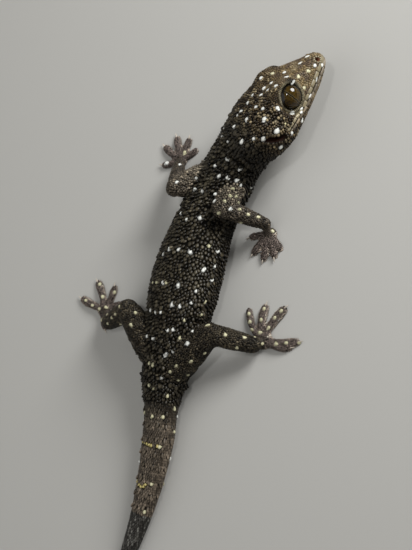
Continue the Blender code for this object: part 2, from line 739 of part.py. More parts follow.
def finish_head(head):
    """Lids, eye sockets, ear cups and nostrils."""
    combine(head, [lid(1), lid(-1)], "UNION")
    cutters = [eyeball("socket", side, EYE_RADIUS + GAP) for side in (1, -1)]
    for side in (1, -1):
        tilt = math.radians(EAR_TILT)
        lengthwise = head_direction((0.0, -math.sin(tilt), math.cos(tilt)), side)
        outward = head_direction((1.0, 0.0, 0.0), side)
        turned = (outward, np.cross(lengthwise, outward), lengthwise)
        cutters.append(ellipsoid("ear", from_head(mirrored(EAR_CENTRE, side)), EAR_SIZE, turned))
        nose = tuple(head_direction(axis, side) for axis in NOSTRIL_AXES)
        cutters.append(ellipsoid("nostril", from_head(mirrored(NOSTRIL_CENTRE, side)),
                                 NOSTRIL_SIZE, nose, NOSTRIL_ROWS, NOSTRIL_SIDES))
    combine(head, cutters, "DIFFERENCE")


def trunk_cutter():
    """The torso and neck, grown by the gap, to part the limbs from them."""
    return body_length("trunk", arc_at_y(TRUNK_START_Y), head_arc(TRUNK_END_Y), RING_STEP,
                       even_angles(BODY_SIDES), GAP)


def build_limb(limb, draw):
    """Upper and lower length and foot, each parted from the one before."""
    start, bend, stop = LIMBS[limb]
    radii = ARM_RADII if limb.startswith("arm") else LEG_RADII
    upper_name, lower_name, foot_name = LIMB_NODES[limb]
    upper = limb_length(upper_name, start, bend, radii[0], radii[1])
    lower = limb_length(lower_name, bend, stop, radii[2], radii[3])
    paw = foot(foot_name, limb, radii[3])
    if limb.startswith("leg"):
        combine(upper, limb_tubercles(start, bend, radii[0], radii[1], draw), "UNION")
    combine(upper, [trunk_cutter()], "DIFFERENCE")
    upper_cutter = limb_length("upper", start, bend, radii[0], radii[1], GAP)
    combine(lower, [upper_cutter, trunk_cutter()], "DIFFERENCE")
    lower_cutter = limb_length("lower", bend, stop, radii[2], radii[3], GAP)
    combine(paw, [lower_cutter, floor_slab()], "DIFFERENCE")
    return {upper_name: upper, lower_name: lower, foot_name: paw}


def main():
    clear_scene()
    nodes = build_body()
    finish_head(nodes["head"])
    nodes["eye_right"] = eyeball("eye_right", 1, EYE_RADIUS)
    nodes["eye_left"] = eyeball("eye_left", -1, EYE_RADIUS)
    draw = random.Random(SEED + 1)
    for limb in LIMBS:
        nodes.update(build_limb(limb, draw))
    colours = {"head": SKIN_OLIVE, "neck": SKIN_DARK, "torso": SKIN_DARK, "tail": SKIN_TAIL,
               "tail_regrown": SKIN_REGROWN}
    for name, made in nodes.items():
        made.name = name
        eye = name.startswith("eye")
        colour = EYE_BROWN if eye else colours.get(name, SKIN_LIMB)
        roughness = EYE_ROUGHNESS if eye else SKIN_ROUGHNESS
        made.data.materials.clear()
        made.data.materials.append(material(name, colour, roughness))


main()
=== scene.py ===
"""The finished look of a life-size tokay gecko that lies on a pale studio floor.

Sizes are in millimetres, and MM turns them into metres where a mesh is made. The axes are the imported
part's: +Y runs toward the head, +X is the animal's right side, +Z is up, and the floor is at zero.
One skin covers the flesh, and the scales, tubercles, lips, lids and claws are solid meshes on it.
"""
import math

import bmesh
import bpy
import numpy as np
from mathutils import Matrix, Vector, noise
from mathutils.bvhtree import BVHTree
from mathutils.kdtree import KDTree


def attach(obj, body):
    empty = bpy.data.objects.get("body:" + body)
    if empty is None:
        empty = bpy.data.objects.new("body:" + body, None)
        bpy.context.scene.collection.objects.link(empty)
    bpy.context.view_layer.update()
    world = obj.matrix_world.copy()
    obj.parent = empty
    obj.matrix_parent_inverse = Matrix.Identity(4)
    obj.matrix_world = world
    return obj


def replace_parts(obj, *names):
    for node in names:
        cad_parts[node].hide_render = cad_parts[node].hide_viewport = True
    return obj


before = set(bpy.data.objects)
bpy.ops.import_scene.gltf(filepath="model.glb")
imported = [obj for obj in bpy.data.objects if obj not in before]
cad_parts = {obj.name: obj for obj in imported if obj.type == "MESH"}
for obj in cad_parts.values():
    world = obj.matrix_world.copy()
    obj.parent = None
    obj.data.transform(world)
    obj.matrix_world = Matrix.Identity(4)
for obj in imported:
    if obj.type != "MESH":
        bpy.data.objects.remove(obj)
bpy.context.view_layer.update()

MM = 0.001
SEED = 23
UP = (0.0, 0.0, 1.0)
SIDES = (1, -1)

# Least divisors, a distance that stands for far away, and the rise of a direction close to upright
TINY = 1e-12
SMALL = 1e-6
FAR = 9.0
STEEP = 0.9

# Head: its joint with the neck, the way it points, and the length from ear to snout
HEAD_ORIGIN = (12.5, 57.5, 13.2)
HEAD_YAW = 26.0
HEAD_PITCH = -1.0
HEAD_ROLL = 31.0
HEAD_LENGTH = 38.3

# Spine stations from the tail tip to the neck:
# x, y, z of the centre, yaw, roll, half width, rise above the centre, drop below it
SPINE = (
    (0.5, -150.0, 0.7, 11.0, 0.0, 0.55, 0.55, 0.8),
    (3.1, -135.0, 1.5, 10.0, 0.0, 1.7, 1.5, 1.6),
    (5.7, -120.0, 2.2, 8.0, 0.0, 2.6, 2.2, 2.4),
    (7.4, -106.5, 2.9, 5.0, 0.0, 3.4, 2.9, 3.1),
    (8.3, -92.0, 3.7, 1.0, 0.0, 4.4, 3.8, 3.9),
    (8.1, -78.3, 4.4, -3.0, 0.0, 5.4, 4.6, 4.6),
    (6.6, -63.0, 5.1, -8.0, 0.0, 6.4, 5.5, 5.3),
    (4.3, -52.0, 5.4, -11.0, 0.0, 6.7, 5.9, 5.6),
    (2.6, -43.0, 6.2, -9.0, 0.0, 8.3, 7.2, 6.4),
    (1.6, -34.0, 7.0, -4.0, 0.0, 9.4, 8.6, 7.2),
    (1.2, -24.0, 7.7, -3.0, 0.0, 11.0, 9.6, 7.95),
    (0.8, -14.0, 8.2, -4.0, 0.0, 12.8, 10.2, 8.5),
    (0.0, -2.0, 8.4, -3.0, 0.0, 13.7, 10.6, 8.7),
    (-0.2, 10.0, 8.4, 0.0, 0.0, 12.9, 10.5, 8.7),
    (0.5, 22.0, 8.3, 6.0, 0.0, 11.4, 10.2, 8.55),
    (2.5, 33.0, 8.4, 13.0, 1.0, 11.0, 9.9, 8.6),
    (4.8, 42.0, 9.5, 19.0, 8.0, 11.0, 9.5, 9.2),
    (7.2, 48.5, 11.0, 23.0, 18.0, 11.2, 9.2, 8.9),
)

# Head stations from the nape to the snout, in the head's own axes:
# y, height of the mouth line, half width, rise above that line, drop below it
HEAD = (
    (-4.5, 0.4, 12.8, 9.5, 8.7),
    (-1.0, 0.2, 14.2, 10.2, 8.7),
    (3.0, -0.2, 15.4, 11.2, 8.4),
    (8.0, -0.6, 15.4, 12.0, 7.7),
    (14.0, -0.9, 13.8, 12.1, 6.5),
    (20.0, -0.9, 11.6, 11.5, 5.3),
    (25.0, -0.7, 9.6, 9.4, 4.6),
    (29.6, -0.5, 7.3, 7.1, 4.0),
    (33.4, -0.2, 5.2, 5.4, 3.1),
    (36.2, -0.1, 3.5, 4.0, 2.0),
    (37.7, 0.1, 2.0, 2.6, 1.1),
)
SECTION_POWER = 2.2
HEAD_SECTION_POWER = 2.6
LEAST_WIDTH = 0.1
TAIL_BREAK_Y = -91.0
TAIL_ROOT_Y = -45.0
VENT_Y = -41.5
NECK_Y = 46.0

# Head forms: centre in the head's axes (right side, mirrored), reach along x, y and z, height
HEAD_FORMS = (
    ((7.6, 19.2, 9.4), (3.6, 5.4, 3.2), 2.6),
    ((13.0, 5.0, 3.0), (4.0, 5.0, 4.5), 0.7),
    ((11.4, 20.0, 4.4), (2.6, 4.4, 3.2), -0.8),
    ((4.6, 28.5, 6.0), (2.2, 5.0, 2.2), 0.5),
    ((7.0, 28.0, 2.6), (2.5, 4.0, 2.0), -0.5),
    ((3.2, 35.0, 2.6), (1.8, 2.2, 1.8), 0.4),
)
MIDLINE_FORMS = (
    ((0.0, 20.0, 10.0), (3.2, 7.0, 4.0), -1.1),
    ((0.0, 29.0, 7.0), (2.2, 4.0, 4.0), -0.4),
)

# Mouth, eyes, ears and nostrils, in the head's axes. A wall is where a hole is deepest and where it
# starts, in the measure of the ear and the nostril
MOUTH_CORNER_Y = 9.5
EYE_CENTRE = (7.1, 18.9, 4.6)
EYE_RADIUS = 5.2
EYE_AXIS = (0.93, 0.16, 0.2)
LID_OPENING = (4.7, 3.8)
LID_LEAN = 37.0
LID_THICKNESS = 0.7
LID_LOWEST = 2.1
LID_RINGS = 96
LID_SIDES = 20
LID_BLEND = 1.1
LID_INSET = 0.1
EYE_SINK = 0.5
EYE_INSET = 0.12
EYE_SEGMENTS = 128
EYE_RINGS = 80
EAR_CENTRE = (15.2, 4.6, 2.2)
EAR_SIZE = (1.25, 3.9)
EAR_TILT = 47.0
EAR_NEAR = 6.0
EAR_DEPTH = 1.7
EAR_WALL = (0.35, 1.1)
NOSTRIL_CENTRE = (3.1, 35.6, 3.0)
NOSTRIL_RADIUS = 0.9
NOSTRIL_WALL = (0.2 * NOSTRIL_RADIUS, 1.1 * NOSTRIL_RADIUS)
NOSTRIL_AXIS = (0.8, 0.5, 0.3)
NOSTRIL_NEAR = 2.5
NOSTRIL_RING = 1.3
NOSTRIL_REACH = 2.4
NOSTRIL_DEPTH = 1.8
NOSTRIL_SCALES = 9

# How close to the opening of an eye, an ear and a nostril spots and scales may lie
OPENING_MARGINS = (0.2, 1.0, NOSTRIL_RING + 0.3)
SCALE_MARGINS = (2 * LID_THICKNESS - 0.1, 1.2, 1.75)

# The fold at the front of each eye, pushed in and painted with shade: its turn from the long way of
# the opening, its half width, its depth, and how far from the opening it starts, is full, fades and
# ends
CANTHUS_TURN = 0.25
CANTHUS_WIDTH = 0.36
CANTHUS_DEPTH = 0.5
CANTHUS_SPAN = (0.0, 0.9, 1.2, 3.0)

# Ridges of the skin, and creases as ridges below zero: height, middle and half width, the last two
# in the measure of the ear, the nostril and the mouth, or as degrees round the body
EAR_RIM = (0.35, 1.35, 0.3)
NOSTRIL_RIM = (0.18, 1.5, 0.35)
MOUTH_CREASE = (-0.4, 0.0, 0.24)
FLANK_FOLD = (0.3, -12.0, 8.0)
FLANK_CREASE = (-0.4, 6.0, 5.0)

# Where the flank's fold starts, is full, fades and ends along y
FLANK_SPAN = (-34.0, -24.0, 24.0, 34.0)

# Forms at the vent: height, y, half length and half width in degrees, round one level
VENT_FORMS = ((1.3, VENT_Y, 2.6, 22.0), (-0.4, VENT_Y - 4.6, 1.3, 30.0))
VENT_LEVEL = -12.0

# Fine creases: their grain, fineness and sharpness, how far they reach from the limbs' roots along
# limb and body, how strong and long they are at the neck, and where they end on the head
CREASE_GRAIN = (0.11, 0.34, 0.11)
CREASE_FINENESS = 6.0
CREASE_POWER = 1.6
CREASE_REACH = (6.0, 5.0)
NECK_CREASES = 0.8
NECK_REACH = 9.0
CREASE_END_Y = 2.0

# Limbs: start, bend, end and the half widths there. The first two are the arms. The muscle is a
# share of a length, and the half width there against a straight taper
ARMS = 2
LEFT_ARM = 1
ARM_RADII = (5.0, 4.1, 3.7, 2.5)
LEG_RADII = (6.8, 4.5, 4.1, 3.3)
LIMBS = {
    "arm_right": ((9.5, 38.5, 11.0), (10.6, 28.0, 18.6), (22.8, 27.5, 4.8)),
    "arm_left": ((-4.0, 39.5, 10.5), (-12.4, 31.0, 15.0), (-20.0, 40.5, 5.0)),
    "leg_right": ((6.0, -34.5, 8.0), (18.4, -17.8, 13.6), (32.4, -17.1, 4.7)),
    "leg_left": ((-4.5, -31.0, 8.2), (-18.8, -19.2, 11.6), (-29.6, -26.4, 4.8)),
}
LIMB_MUSCLE = ((0.0, 1.0), (0.25, 1.05), (0.5, 1.07), (0.75, 1.03), (1.0, 1.0))

# Feet: palm centre, palm half size, then for each toe its heading from +X, length, half width and
# the turn from that heading at which it leaves the palm. The profile is a share of the toe, with
# its width against the full one and its height there, and the sole is the share that lies flat
FEET = {
    "arm_right": ((24.0, 24.1), 3.4, ((-36, 8.0, 1.5, 14), (-60, 9.6, 1.7, 8),
                                      (-87, 10.4, 1.8, 0), (-116, 10.2, 1.75, -8),
                                      (-157, 8.6, 1.6, -14))),
    "arm_left": ((-22.4, 43.2), 3.4, ((48, 8.4, 1.5, -14), (86, 9.8, 1.7, -8),
                                      (120, 10.6, 1.8, 0), (156, 10.4, 1.75, 8),
                                      (204, 8.8, 1.6, 14))),
    "leg_right": ((34.4, -14.4), 3.9, ((134, 14.2, 1.65, 32), (104, 13.6, 2.05, 24),
                                       (72, 15.0, 2.15, 14), (15, 14.6, 1.95, -12),
                                       (3, 11.6, 1.65, -25))),
    "leg_left": ((-35.6, -22.6), 3.9, ((28, 9.5, 1.55, 20), (86, 10.6, 1.7, -14),
                                       (128, 12.8, 1.95, -8), (174, 13.2, 2.0, 10),
                                       (290, 8.4, 1.6, -25))),
}
PALM_HEIGHT = 2.7
TOE_PROFILE = ((0.0, 0.9, 2.4), (0.3, 0.78, 2.2), (0.5, 0.84, 2.0), (0.74, 1.0, 1.7),
               (0.91, 0.86, 1.4), (1.0, 0.45, 0.9))
TOE_SOLE = 0.12
TOE_AXIS_HEIGHT = 0.8
TOE_LENGTHS = 3
INSTEP_SHARE = 0.85

# The straight lengths that stand for a toe: how much of the palm they leave out, the length left at
# the tip, and their half width against the toe's. Segments are numbered from the limb's root
TOE_ROOT = 0.7
TOE_ROUND = 0.8
TOE_CORE = 0.8
INSTEP = 2

# How far the skin lies inside the part's surface, which leaves room for the scales
BODY_COAT = 0.3
LIMB_COAT = 0.2
TOE_COAT = 0.12
TIP_COAT = 0.05
COAT_RAMP = 40.0
SKIN_LOWEST = 0.05

# Fineness of the skin, with the leans of the rings at a limb's round ends and on a palm
END_LEANS = (15, 35, 55, 75)
PALM_LEANS = (10, 25, 40, 55, 70, 85)
LIMB_RINGS = 12
SPINE_READS = 500
SHELL_SIDES = 72
SHELL_STEP = 0.9
LIMB_SIDES = 28
TOE_RINGS = 16
TOE_SIDES = 20
SKIN_CELL = 0.58
FINE_HEAD_Y = -1.0
CUT_SMOOTHING = 0.3

# Smoothing of the skin: all over, where limbs meet the body, and at the limbs' joints, then to and
# fro, which evens it and keeps its size
SMOOTHING = 0.5
JOIN_SMOOTHING = 0.6
FAIR_WEIGHTS = (0.5, -0.48)
FIRST_STEPS = 2
FAIR_STEPS = 8
JOIN_STEPS = 26
JOIN_REACH = 2.6
JOINT_STEPS = 16
JOINT_REACH = 3.2

# The flat layout: its edge, the body's height, where the limbs' rows start, their step and height,
# the share of the width for each segment, and a scale's own size
FLAT_EDGE = 0.02
FLAT_SPAN = 0.96
FLAT_BODY = 0.5
FLAT_LIMBS = 0.56
FLAT_ROW = 0.1
FLAT_ROW_FILL = 0.09
FLAT_CELLS = 8.0
FLAT_CELL = 0.11
FLAT_SCALE = 0.0015

# Camera: its place, the tilt from straight down toward the right side, the turn of the picture,
# and the lens for a picture whose longer side is 36 mm
CAMERA_PLACE = (188.0, 2.6, 363.2)
CAMERA_TILT = 27.0
CAMERA_TURN = 17.0
CAMERA_LENS = 68.9
PICTURE = (412, 550)
SENSOR = 36.0
CAMERA_NEAR = 0.01

# Lights: name, place, size across and power in watts, and the light of the room
LIGHTS = (
    ("key", (298.0, 540.0, 289.0), 300.0, 5.3),
    ("top", (89.0, 68.0, 622.0), 60.0, 0.5),
    ("fill", (-350.0, -300.0, 550.0), 900.0, 1.4),
)
WORLD_COLOUR = (1.0, 0.98, 0.94, 1.0)
WORLD_STRENGTH = 0.17
FLOOR_REACH = 3.0
FLOOR_COLOUR = (0.46, 0.455, 0.43, 1.0)

# Where pale spots sit in the picture, 412 by 550, as x and y, for each kind of spot
SPOTS = {
    "white": (
        (315, 65.5), (322, 65), (321, 61), (284.5, 72.5), (261, 78), (271.5, 83), (276, 86),
        (264, 88), (268, 90), (253, 95), (261, 95), (248, 102.5), (237, 100), (256, 107),
        (263, 108.5), (277.5, 108), (301, 108.5), (301, 112), (302, 121), (241, 111), (238, 115),
        (234.5, 126.5), (225, 128), (223, 136), (228.5, 141), (254, 138.5), (292, 132.5),
        (227.5, 159), (215.5, 165.5), (219, 176), (227.5, 177.5), (236.5, 180.5), (195.5, 189),
        (202.5, 191), (215.5, 194), (177.5, 213.5), (181.5, 213), (187, 219), (162.5, 246),
        (169.5, 249.5), (178.5, 249.5), (164, 253.5), (218, 251), (214.5, 266), (151.5, 270),
        (196, 291), (211.5, 280), (180, 306.5), (191.5, 302.5), (145.5, 308), (151, 310),
        (156, 311.5), (161, 312), (168, 330), (173, 329.5), (173, 351.5), (162, 377.5),
        (147.5, 336), (153, 338), (163, 282), (251, 187), (248, 208), (192.5, 331.5),
    ),
    "large": (
        (247, 119), (264.5, 119), (242, 142), (263.5, 139), (281, 147), (200.5, 218), (190.5, 252),
        (203, 270), (178.5, 285), (172.5, 304.5), (187.5, 344), (166, 355), (292, 113),
        (214.5, 201),
    ),
    "largest": ((277, 131),),
    "long": (
        (307.5, 56.5), (300.5, 63), (316.5, 79.5), (286.5, 77), (240, 169), (309.5, 96), (293, 82.5),
        (241, 184.5), (230, 209),
    ),
    "cream": (
        (308, 71), (298.5, 77), (272.5, 73.5), (283, 91), (304, 88), (209, 246), (153.5, 282),
        (157, 282), (166.5, 282.5), (184.5, 320), (201.5, 314), (204.5, 302), (180, 338), (170, 372),
        (188, 375), (178, 380.5), (149.5, 363), (153, 365), (149, 385), (153.5, 388), (167.5, 396),
        (176.5, 365.5), (191, 361.5), (204.5, 353.5), (208, 325), (225, 335), (244, 337.5),
        (254, 337), (236.5, 348), (262, 344), (276, 344), (286, 343), (299, 343), (268.5, 328),
        (274.5, 318), (281, 311), (259.5, 333), (261, 320), (264, 309), (250, 322), (249, 314),
        (252, 330), (135.5, 313), (131, 325), (121, 324), (119.5, 307), (115.5, 314), (112, 317.5),
        (107.5, 314.5), (102, 320), (108, 323.5), (99.7, 284.5), (102.5, 297), (86, 300.5),
        (92.5, 305.5), (99.5, 309), (106, 307.5), (114.5, 292.5), (127, 299.5),
        (248, 193.5), (218.5, 213), (248, 214.5), (240.5, 222.5), (258, 217), (272.5, 231),
        (145, 412), (152.5, 416), (163, 417), (174.5, 409), (174, 431.5), (159.5, 447), (151.5, 484),
        (144.5, 512),
    ),
    "dash": (
        (230, 195), (236.5, 196.5), (238.5, 202.5), (225, 201), (240, 209), (233, 188.5),
    ),
    "yellow": (
        (143, 441.5), (145, 442.5), (147, 443.5), (149, 444.5), (151.5, 445.5), (157.5, 446.5),
        (137.5, 481.5), (139, 484.5), (141, 486.5), (143.5, 486.5), (145.5, 484.5),
    ),
}
# For each kind: half width in millimetres, length over width, and its colour in COLOURS
SPOT_KINDS = {
    "white": (0.72, 1.2, "spot_white"),
    "large": (0.90, 1.15, "spot_white"),
    "largest": (1.10, 1.3, "spot_white"),
    "long": (0.58, 2.0, "spot_white"),
    "cream": (0.70, 1.25, "spot_cream"),
    "dash": (0.66, 0.55, "spot_cream"),
    "yellow": (0.55, 1.1, "spot_yellow"),
}
SPOT_COVER = 1.02
LOBE_SIZE = (0.55, 0.75)
LOBE_REACH = (0.7, 1.0)

# A spot's height against its half width, on the head and limbs and elsewhere, and its lean
LOW_SPOT = 0.5
HIGH_SPOT = 0.85
LOW_SPOTS_Y = 1.0
SPOT_LEAN = 0.3

# Spots where the picture shows none: gap, gap to the seen ones as a share of it, share of each
# kind, the places tried, and the limits of facing the camera, of height and of y
HIDDEN_SPOT_GAP = 7.0
HIDDEN_CLEARANCE = 0.55
HIDDEN_KINDS = {"white": 0.55, "large": 0.2, "cream": 0.25}
HIDDEN_SAMPLES = 6000
LEAST_FACING = 0.12
HIDDEN_LOWEST = 1.5
HIDDEN_END_Y = -84.0

# Colours, as red, green and blue
COLOURS = {
    "back": (0.0150, 0.0119, 0.0074),
    "back_pale": (0.110, 0.096, 0.064),
    "tubercle": (0.105, 0.090, 0.058),
    "head": (0.185, 0.132, 0.062),
    "head_pale": (0.33, 0.265, 0.155),
    "head_dark": (0.024, 0.016, 0.0085),
    "head_umber": (0.078, 0.053, 0.037),
    "lid": (0.20, 0.175, 0.11),
    "lip": (0.255, 0.215, 0.130),
    "lip_dark": (0.17, 0.135, 0.09),
    "belly": (0.36, 0.33, 0.28),
    "belly_dark": (0.085, 0.078, 0.068),
    "arm": (0.120, 0.098, 0.073),
    "arm_pale": (0.41, 0.355, 0.255),
    "leg": (0.0150, 0.0117, 0.0070),
    "leg_pale": (0.110, 0.090, 0.058),
    "toe": (0.165, 0.130, 0.112),
    "toe_edge": (0.52, 0.43, 0.35),
    "tail": (0.058, 0.046, 0.033),
    "tail_pale": (0.25, 0.200, 0.150),
    "regrown": (0.031, 0.029, 0.025),
    "regrown_pale": (0.14, 0.135, 0.12),
    # Near black for painted shade in the fold before each eye and along the mouth's line
    "painted_shade": (0.010, 0.005, 0.003),
    "nostril": (0.200, 0.083, 0.043),
    # Painted shade deep inside the nostril, darker than its reddish wall
    "nostril_shade": (0.070, 0.026, 0.013),
    "claw": (0.50, 0.44, 0.36),
    "iris": (0.059, 0.034, 0.0042),
    "forearm": (0.046, 0.037, 0.026),
    # Painted shade inside the ear opening, with a reddish tinge
    "ear": (0.018, 0.006, 0.003),
    "iris_dark": (0.021, 0.0125, 0.002),
    "iris_edge": (0.12, 0.095, 0.045),
    # Black of the pupil, also used for the painted shadow of the lids on the eye and inside the lid
    # ring
    "pupil_and_shadow": (0.003, 0.003, 0.002),
    "spot_white": (0.76, 0.77, 0.72),
    "spot_cream": (0.56, 0.53, 0.34),
    "spot_yellow": (0.50, 0.42, 0.16),
}

# Colour marks from noise: its scale and seed, and the values at which the mark starts and is full
MARKS = {
    "patches": (0.16, 1, 0.3, 0.7),
    "mottle": (0.42, 6, 0.35, 0.72),
    "belly": (0.3, 3, 0.45, 0.75),
    "umber": (0.36, 11, 0.46, 0.64),
    "head": (0.55, 7, 0.55, 0.75),
    "streaks": (0.9, 4, 0.48, 0.72),
    "bands": (0.9, 12, 0.5, 0.72),
    "iris": (1.6, 5, 0.46, 0.62),
}
CLOUD_SHIFT = 17.3
FINE_GRAIN = (0.9, 2)
STREAK_STRETCH = (1.6, 0.16, 1.6)
BAND_STRETCH = (1.5, 0.35)

# How strongly the marks show: patches and mottle on the back, the front, mottle and a constant on
# the head, patches, mottle and streaks on the tail, patches, mottle and bands on a limb
MARK_WEIGHTS = {
    "back": (0.35, 0.3),
    "head": (0.85, 0.4, 0.1),
    "tail": (0.3, 0.25, 0.6),
    "limb": (0.15, 0.35, 0.5),
}

# Where colours change: degrees above the side, y of the head's axes, or y of the part's
# Painted shade: the back's pale flecks fade from these degrees above the side down to it
FLANK_SHADE_LEVELS = (0.0, 45.0)
BELLY_LEVELS = (-75.0, -30.0)
HEAD_BLEND = (-4.0, 6.0)
HEAD_FRONT = (9.0, 28.0)
TAIL_BLEND = (TAIL_ROOT_Y - 19.0, TAIL_ROOT_Y - 1.0)

# Strengths of the colour layers, and the spans in which some of them start and are full
# Painted shade on the low flanks: the least share of pale flecks there, against the lit top of the back
SHADED_FLANK_PALE = 0.2
UMBER_SHARE = 0.8
HEAD_PALE_SHARE = 0.6
# Strength of the painted shade in the fold at the front of each eye
CANTHUS_SHADE_SHARE = 0.85
TAIL_BELLY_SHARE = 0.5
TAIL_LEAST_PALE = 0.35
WHORL_LIGHT = 1.15
WHORL_DARKENING = 0.4
WHORL_REAR = (0.6, 0.95)
LIMB_PALE_GAIN = 1.2
# Painted light on a limb's top side: its strength on arms and legs, how far it must face upward, and
# the grain that breaks it into speckles
ARM_TOP_LIGHT = 0.25
LEG_TOP_LIGHT = 0.2
TOP_LIGHT_SPAN = (0.4, 0.95)
TOP_LIGHT_GRAIN = (0.4, 0.65)
FOREARM_SHARE = 0.75
ELBOW_SPAN = (0.35, 0.95)
FOREARM_SPAN = (0.0, 0.3)
TOE_GRAIN = 0.4
INSTEP_DARKENING = 0.3
TOE_BLEND = (1.5, 2.5)
TOE_EDGE_SHARE = 0.85
TOE_EDGE_SPAN = (0.72, 1.0)
TOE_HALF_WIDTH = 1.5

# Iris: darkening for each millimetre from its centre, the slit's bend and notches, its pale edge as
# a ridge, where the pupil ends and the iris starts, and the shadow that the lids' edge throws
IRIS_DARKENING = 0.08
PUPIL_BEND = 0.07
PUPIL_NOTCHES = 3.2
PUPIL_EDGE = (0.6, 0.32, 0.12)
PUPIL_HALF_WIDTHS = (0.12, 0.22)
LID_SHADOW = (-0.8, -0.35)

# Finishes: roughness, specular level, scale and depth of the colour's grain, scale of the bump
FINISHES = {
    "scales": (0.33, 0.18, 900.0, 0.35, 4000.0),
    "spots": (0.4, 0.5, 900.0, 0.12, 3500.0),
    "skin": (0.75, 0.12, 700.0, 0.3, 2500.0),
    "eye": (0.12, 0.0, 1800.0, 0.25, None),
    "claw": (0.35, 0.5, 900.0, 0.2, 2500.0),
    "floor": (0.9, 0.5),
}
GRAIN_DETAIL = 3.0
BUMP_STRENGTH = 0.25
BUMP_DISTANCE = 0.00008
EYE_COAT = 0.75
EYE_COAT_ROUGHNESS = 0.02

# Scales: least gap between centres, height against reach, lean toward the tail, and how much
# wider they are than the room that their neighbours leave
SCALE_KINDS = {
    "back": (1.02, 0.60, 0.75, 1.02),
    "belly": (1.12, 0.18, 0.35, 1.15),
    "chin": (0.74, 0.18, 0.20, 1.14),
    "nape": (0.80, 0.48, 0.35, 1.06),
    "head": (0.56, 0.32, 0.10, 1.14),
    "snout": (0.56, 0.22, 0.05, 1.20),
    "tail": (0.80, 0.30, 0.60, 1.04),
    "limb": (0.62, 0.40, 0.55, 1.06),
    "toe": (0.42, 0.24, 0.50, 1.16),
}
HEAD_KINDS = ("nape", "head", "snout")
WHOLE_KINDS = ("back", "belly", "chin", "tail")
LEAF_PIECES = ("scales_back", "scales_tail", "scales_arm_right", "scales_arm_left",
               "scales_leg_right", "scales_leg_left")
LEAF_SPIN = 0.2

# Limits of the kinds: degrees below the side, then y along the body or in the head's axes
BELLY_LEVEL = -35.0
BELLY_END_Y = -50.0
CHIN_Y = 4.0
NAPE_Y = -3.0
CROWN_Y = 13.0
SNOUT_Y = 24.5
TAIL_SCALES_Y = TAIL_ROOT_Y - 4.0

# Spreading the scales: how many places are tried, how uneven the gaps are, and the least gap to
# spots and tubercles as a share of a scale's own
SAMPLES = 330000
GAP_SPREAD = 0.5
GAP_GRAIN = (1.1, 9)
GAP_DRAW = (0.88, 1.12)
GAP_LIMITS = (0.7, 1.35)
SPREAD_CLEARANCE = 0.42
TAIL_CLEARANCE = 0.35
TAKEN_REACH = 0.6

# Pushing them apart: steps, neighbours that push, the room that they want and the force
PUSH_STEPS = 4
PUSH_NEIGHBOURS = 6
PUSH_ROOM = 1.22
PUSH = 0.35

# Their size: neighbours that set it, its limits against the gap, height and its draw
ROOM_NEIGHBOURS = 4
LEAST_ROOM = 0.42
MOST_ROOM = 0.8
HEIGHT_GAIN = 1.6
HEIGHT_DRAW = (0.8, 1.25)
REAR_LIFT = 0.6
SCALE_LOWEST = 0.02

# Their contrast with each other in brightness, which falls toward the snout
CONTRAST = 0.45
TAIL_CONTRAST = 0.25
TOE_CONTRAST = 0.3
HEAD_CONTRAST = 0.35
FRONT_CONTRAST = 0.12
CONTRAST_FRONT = (10.0, 26.0)
BRIGHTEST = 0.6

# Rows of scales round the tail: the first row, the fewest scales in one, gaps, length against
# width, the greatest distance from the skin, and how unevenly they lie
TAIL_FIRST_ROW = 1.0
TAIL_FEWEST = 8
TAIL_ROW_GAP = 0.95
TAIL_SCALE_GAP = 0.82
TAIL_KEEL = 1.5
TAIL_SKIN_NEAR = 0.9
ROW_JITTER = 0.14
TURN_JITTER = 0.12

# Tubercles: rows, gaps and angles, half widths, draws, and what they keep off
TUBERCLE_ROW = 3.2
TUBERCLE_GAP = 3.3
TUBERCLE_ANGLES = (16, 166)
TAIL_TUBERCLE_ANGLES = (10, 42, 72, 108, 138, 170)
TAIL_WHORLS = 9
TAIL_WHORL_GAP = 5.3
FIRST_WHORL = 2.4
BACK_TUBERCLE = 0.92
HEAD_TUBERCLE = 0.66
TAIL_TUBERCLE = 0.62
TUBERCLE_DRAW = (0.85, 1.1)
TUBERCLE_COVER = 0.85
TUBERCLE_CLEARANCE = 1.7
TUBERCLE_LOWEST = 2.5
SKIN_NEAR = 0.8
ARC_JITTER = 0.6
ANGLE_JITTER = 4.0
TUBERCLE_PALE = 0.55

# The spiny tubercles behind a y, and the others: length and height against half width, lean, tone
SPINY_Y = TAIL_ROOT_Y - 2.0
TUBERCLES = ((1.7, 1.35, 0.8, 0.3), (1.1, 0.86, 0.6, 1.0))

# Painted shade: how dark the skin between the scales is against them, and a scale's root against its
# top
GAP_SHADE = 0.06
FACE_GAP_SHADE = 0.5
ROOT_SHADE = 0.06
LIP_ROOT_SHADE = 0.5
SPOT_ROOT_SHADE = 0.4
SHADE_RISE = 1.25
SHADE_POWER = 1.3
FACE_SPAN = (8.0, 26.0)
LIP_GAP_SHADE = 0.4
LIP_GAP_SHARE = 0.8

# How far the painted shade in the ear, the nostril's colour and the painted shade in its core reach,
# and the mouth's line of painted shade as a ridge
EAR_SHADE_SPAN = (0.8, 1.3)
NOSTRIL_TINT = (0.9, 1.2)
NOSTRIL_SHADE_SPAN = (0.3, 0.8)
MOUTH_SHADE = (1.0, 0.0, 0.3)

# Lips: for the upper and the lower row, the way from the mouth line, the greatest height, the
# number of plates a side, the half length of the plate at the snout, and the colour. The height
# at the corner, its growth to the snout, and the first plate's length are shares of the greatest
LIP_ROWS = ((1.0, 2.0, 12, 1.6, "lip"), (-1.0, 1.5, 11, 1.3, "lip_dark"))
LIP_GAP = 0.14
LIP_STEPS = 60
LIP_STEP = 0.3
LIP_COVER = (0.99, 1.02)
LIP_THICKNESS = 0.2
LIP_CONTRAST = 0.24
LIP_CORNER = 0.62
LIP_GROWTH = 0.38
CORNER_PLATE = 0.5

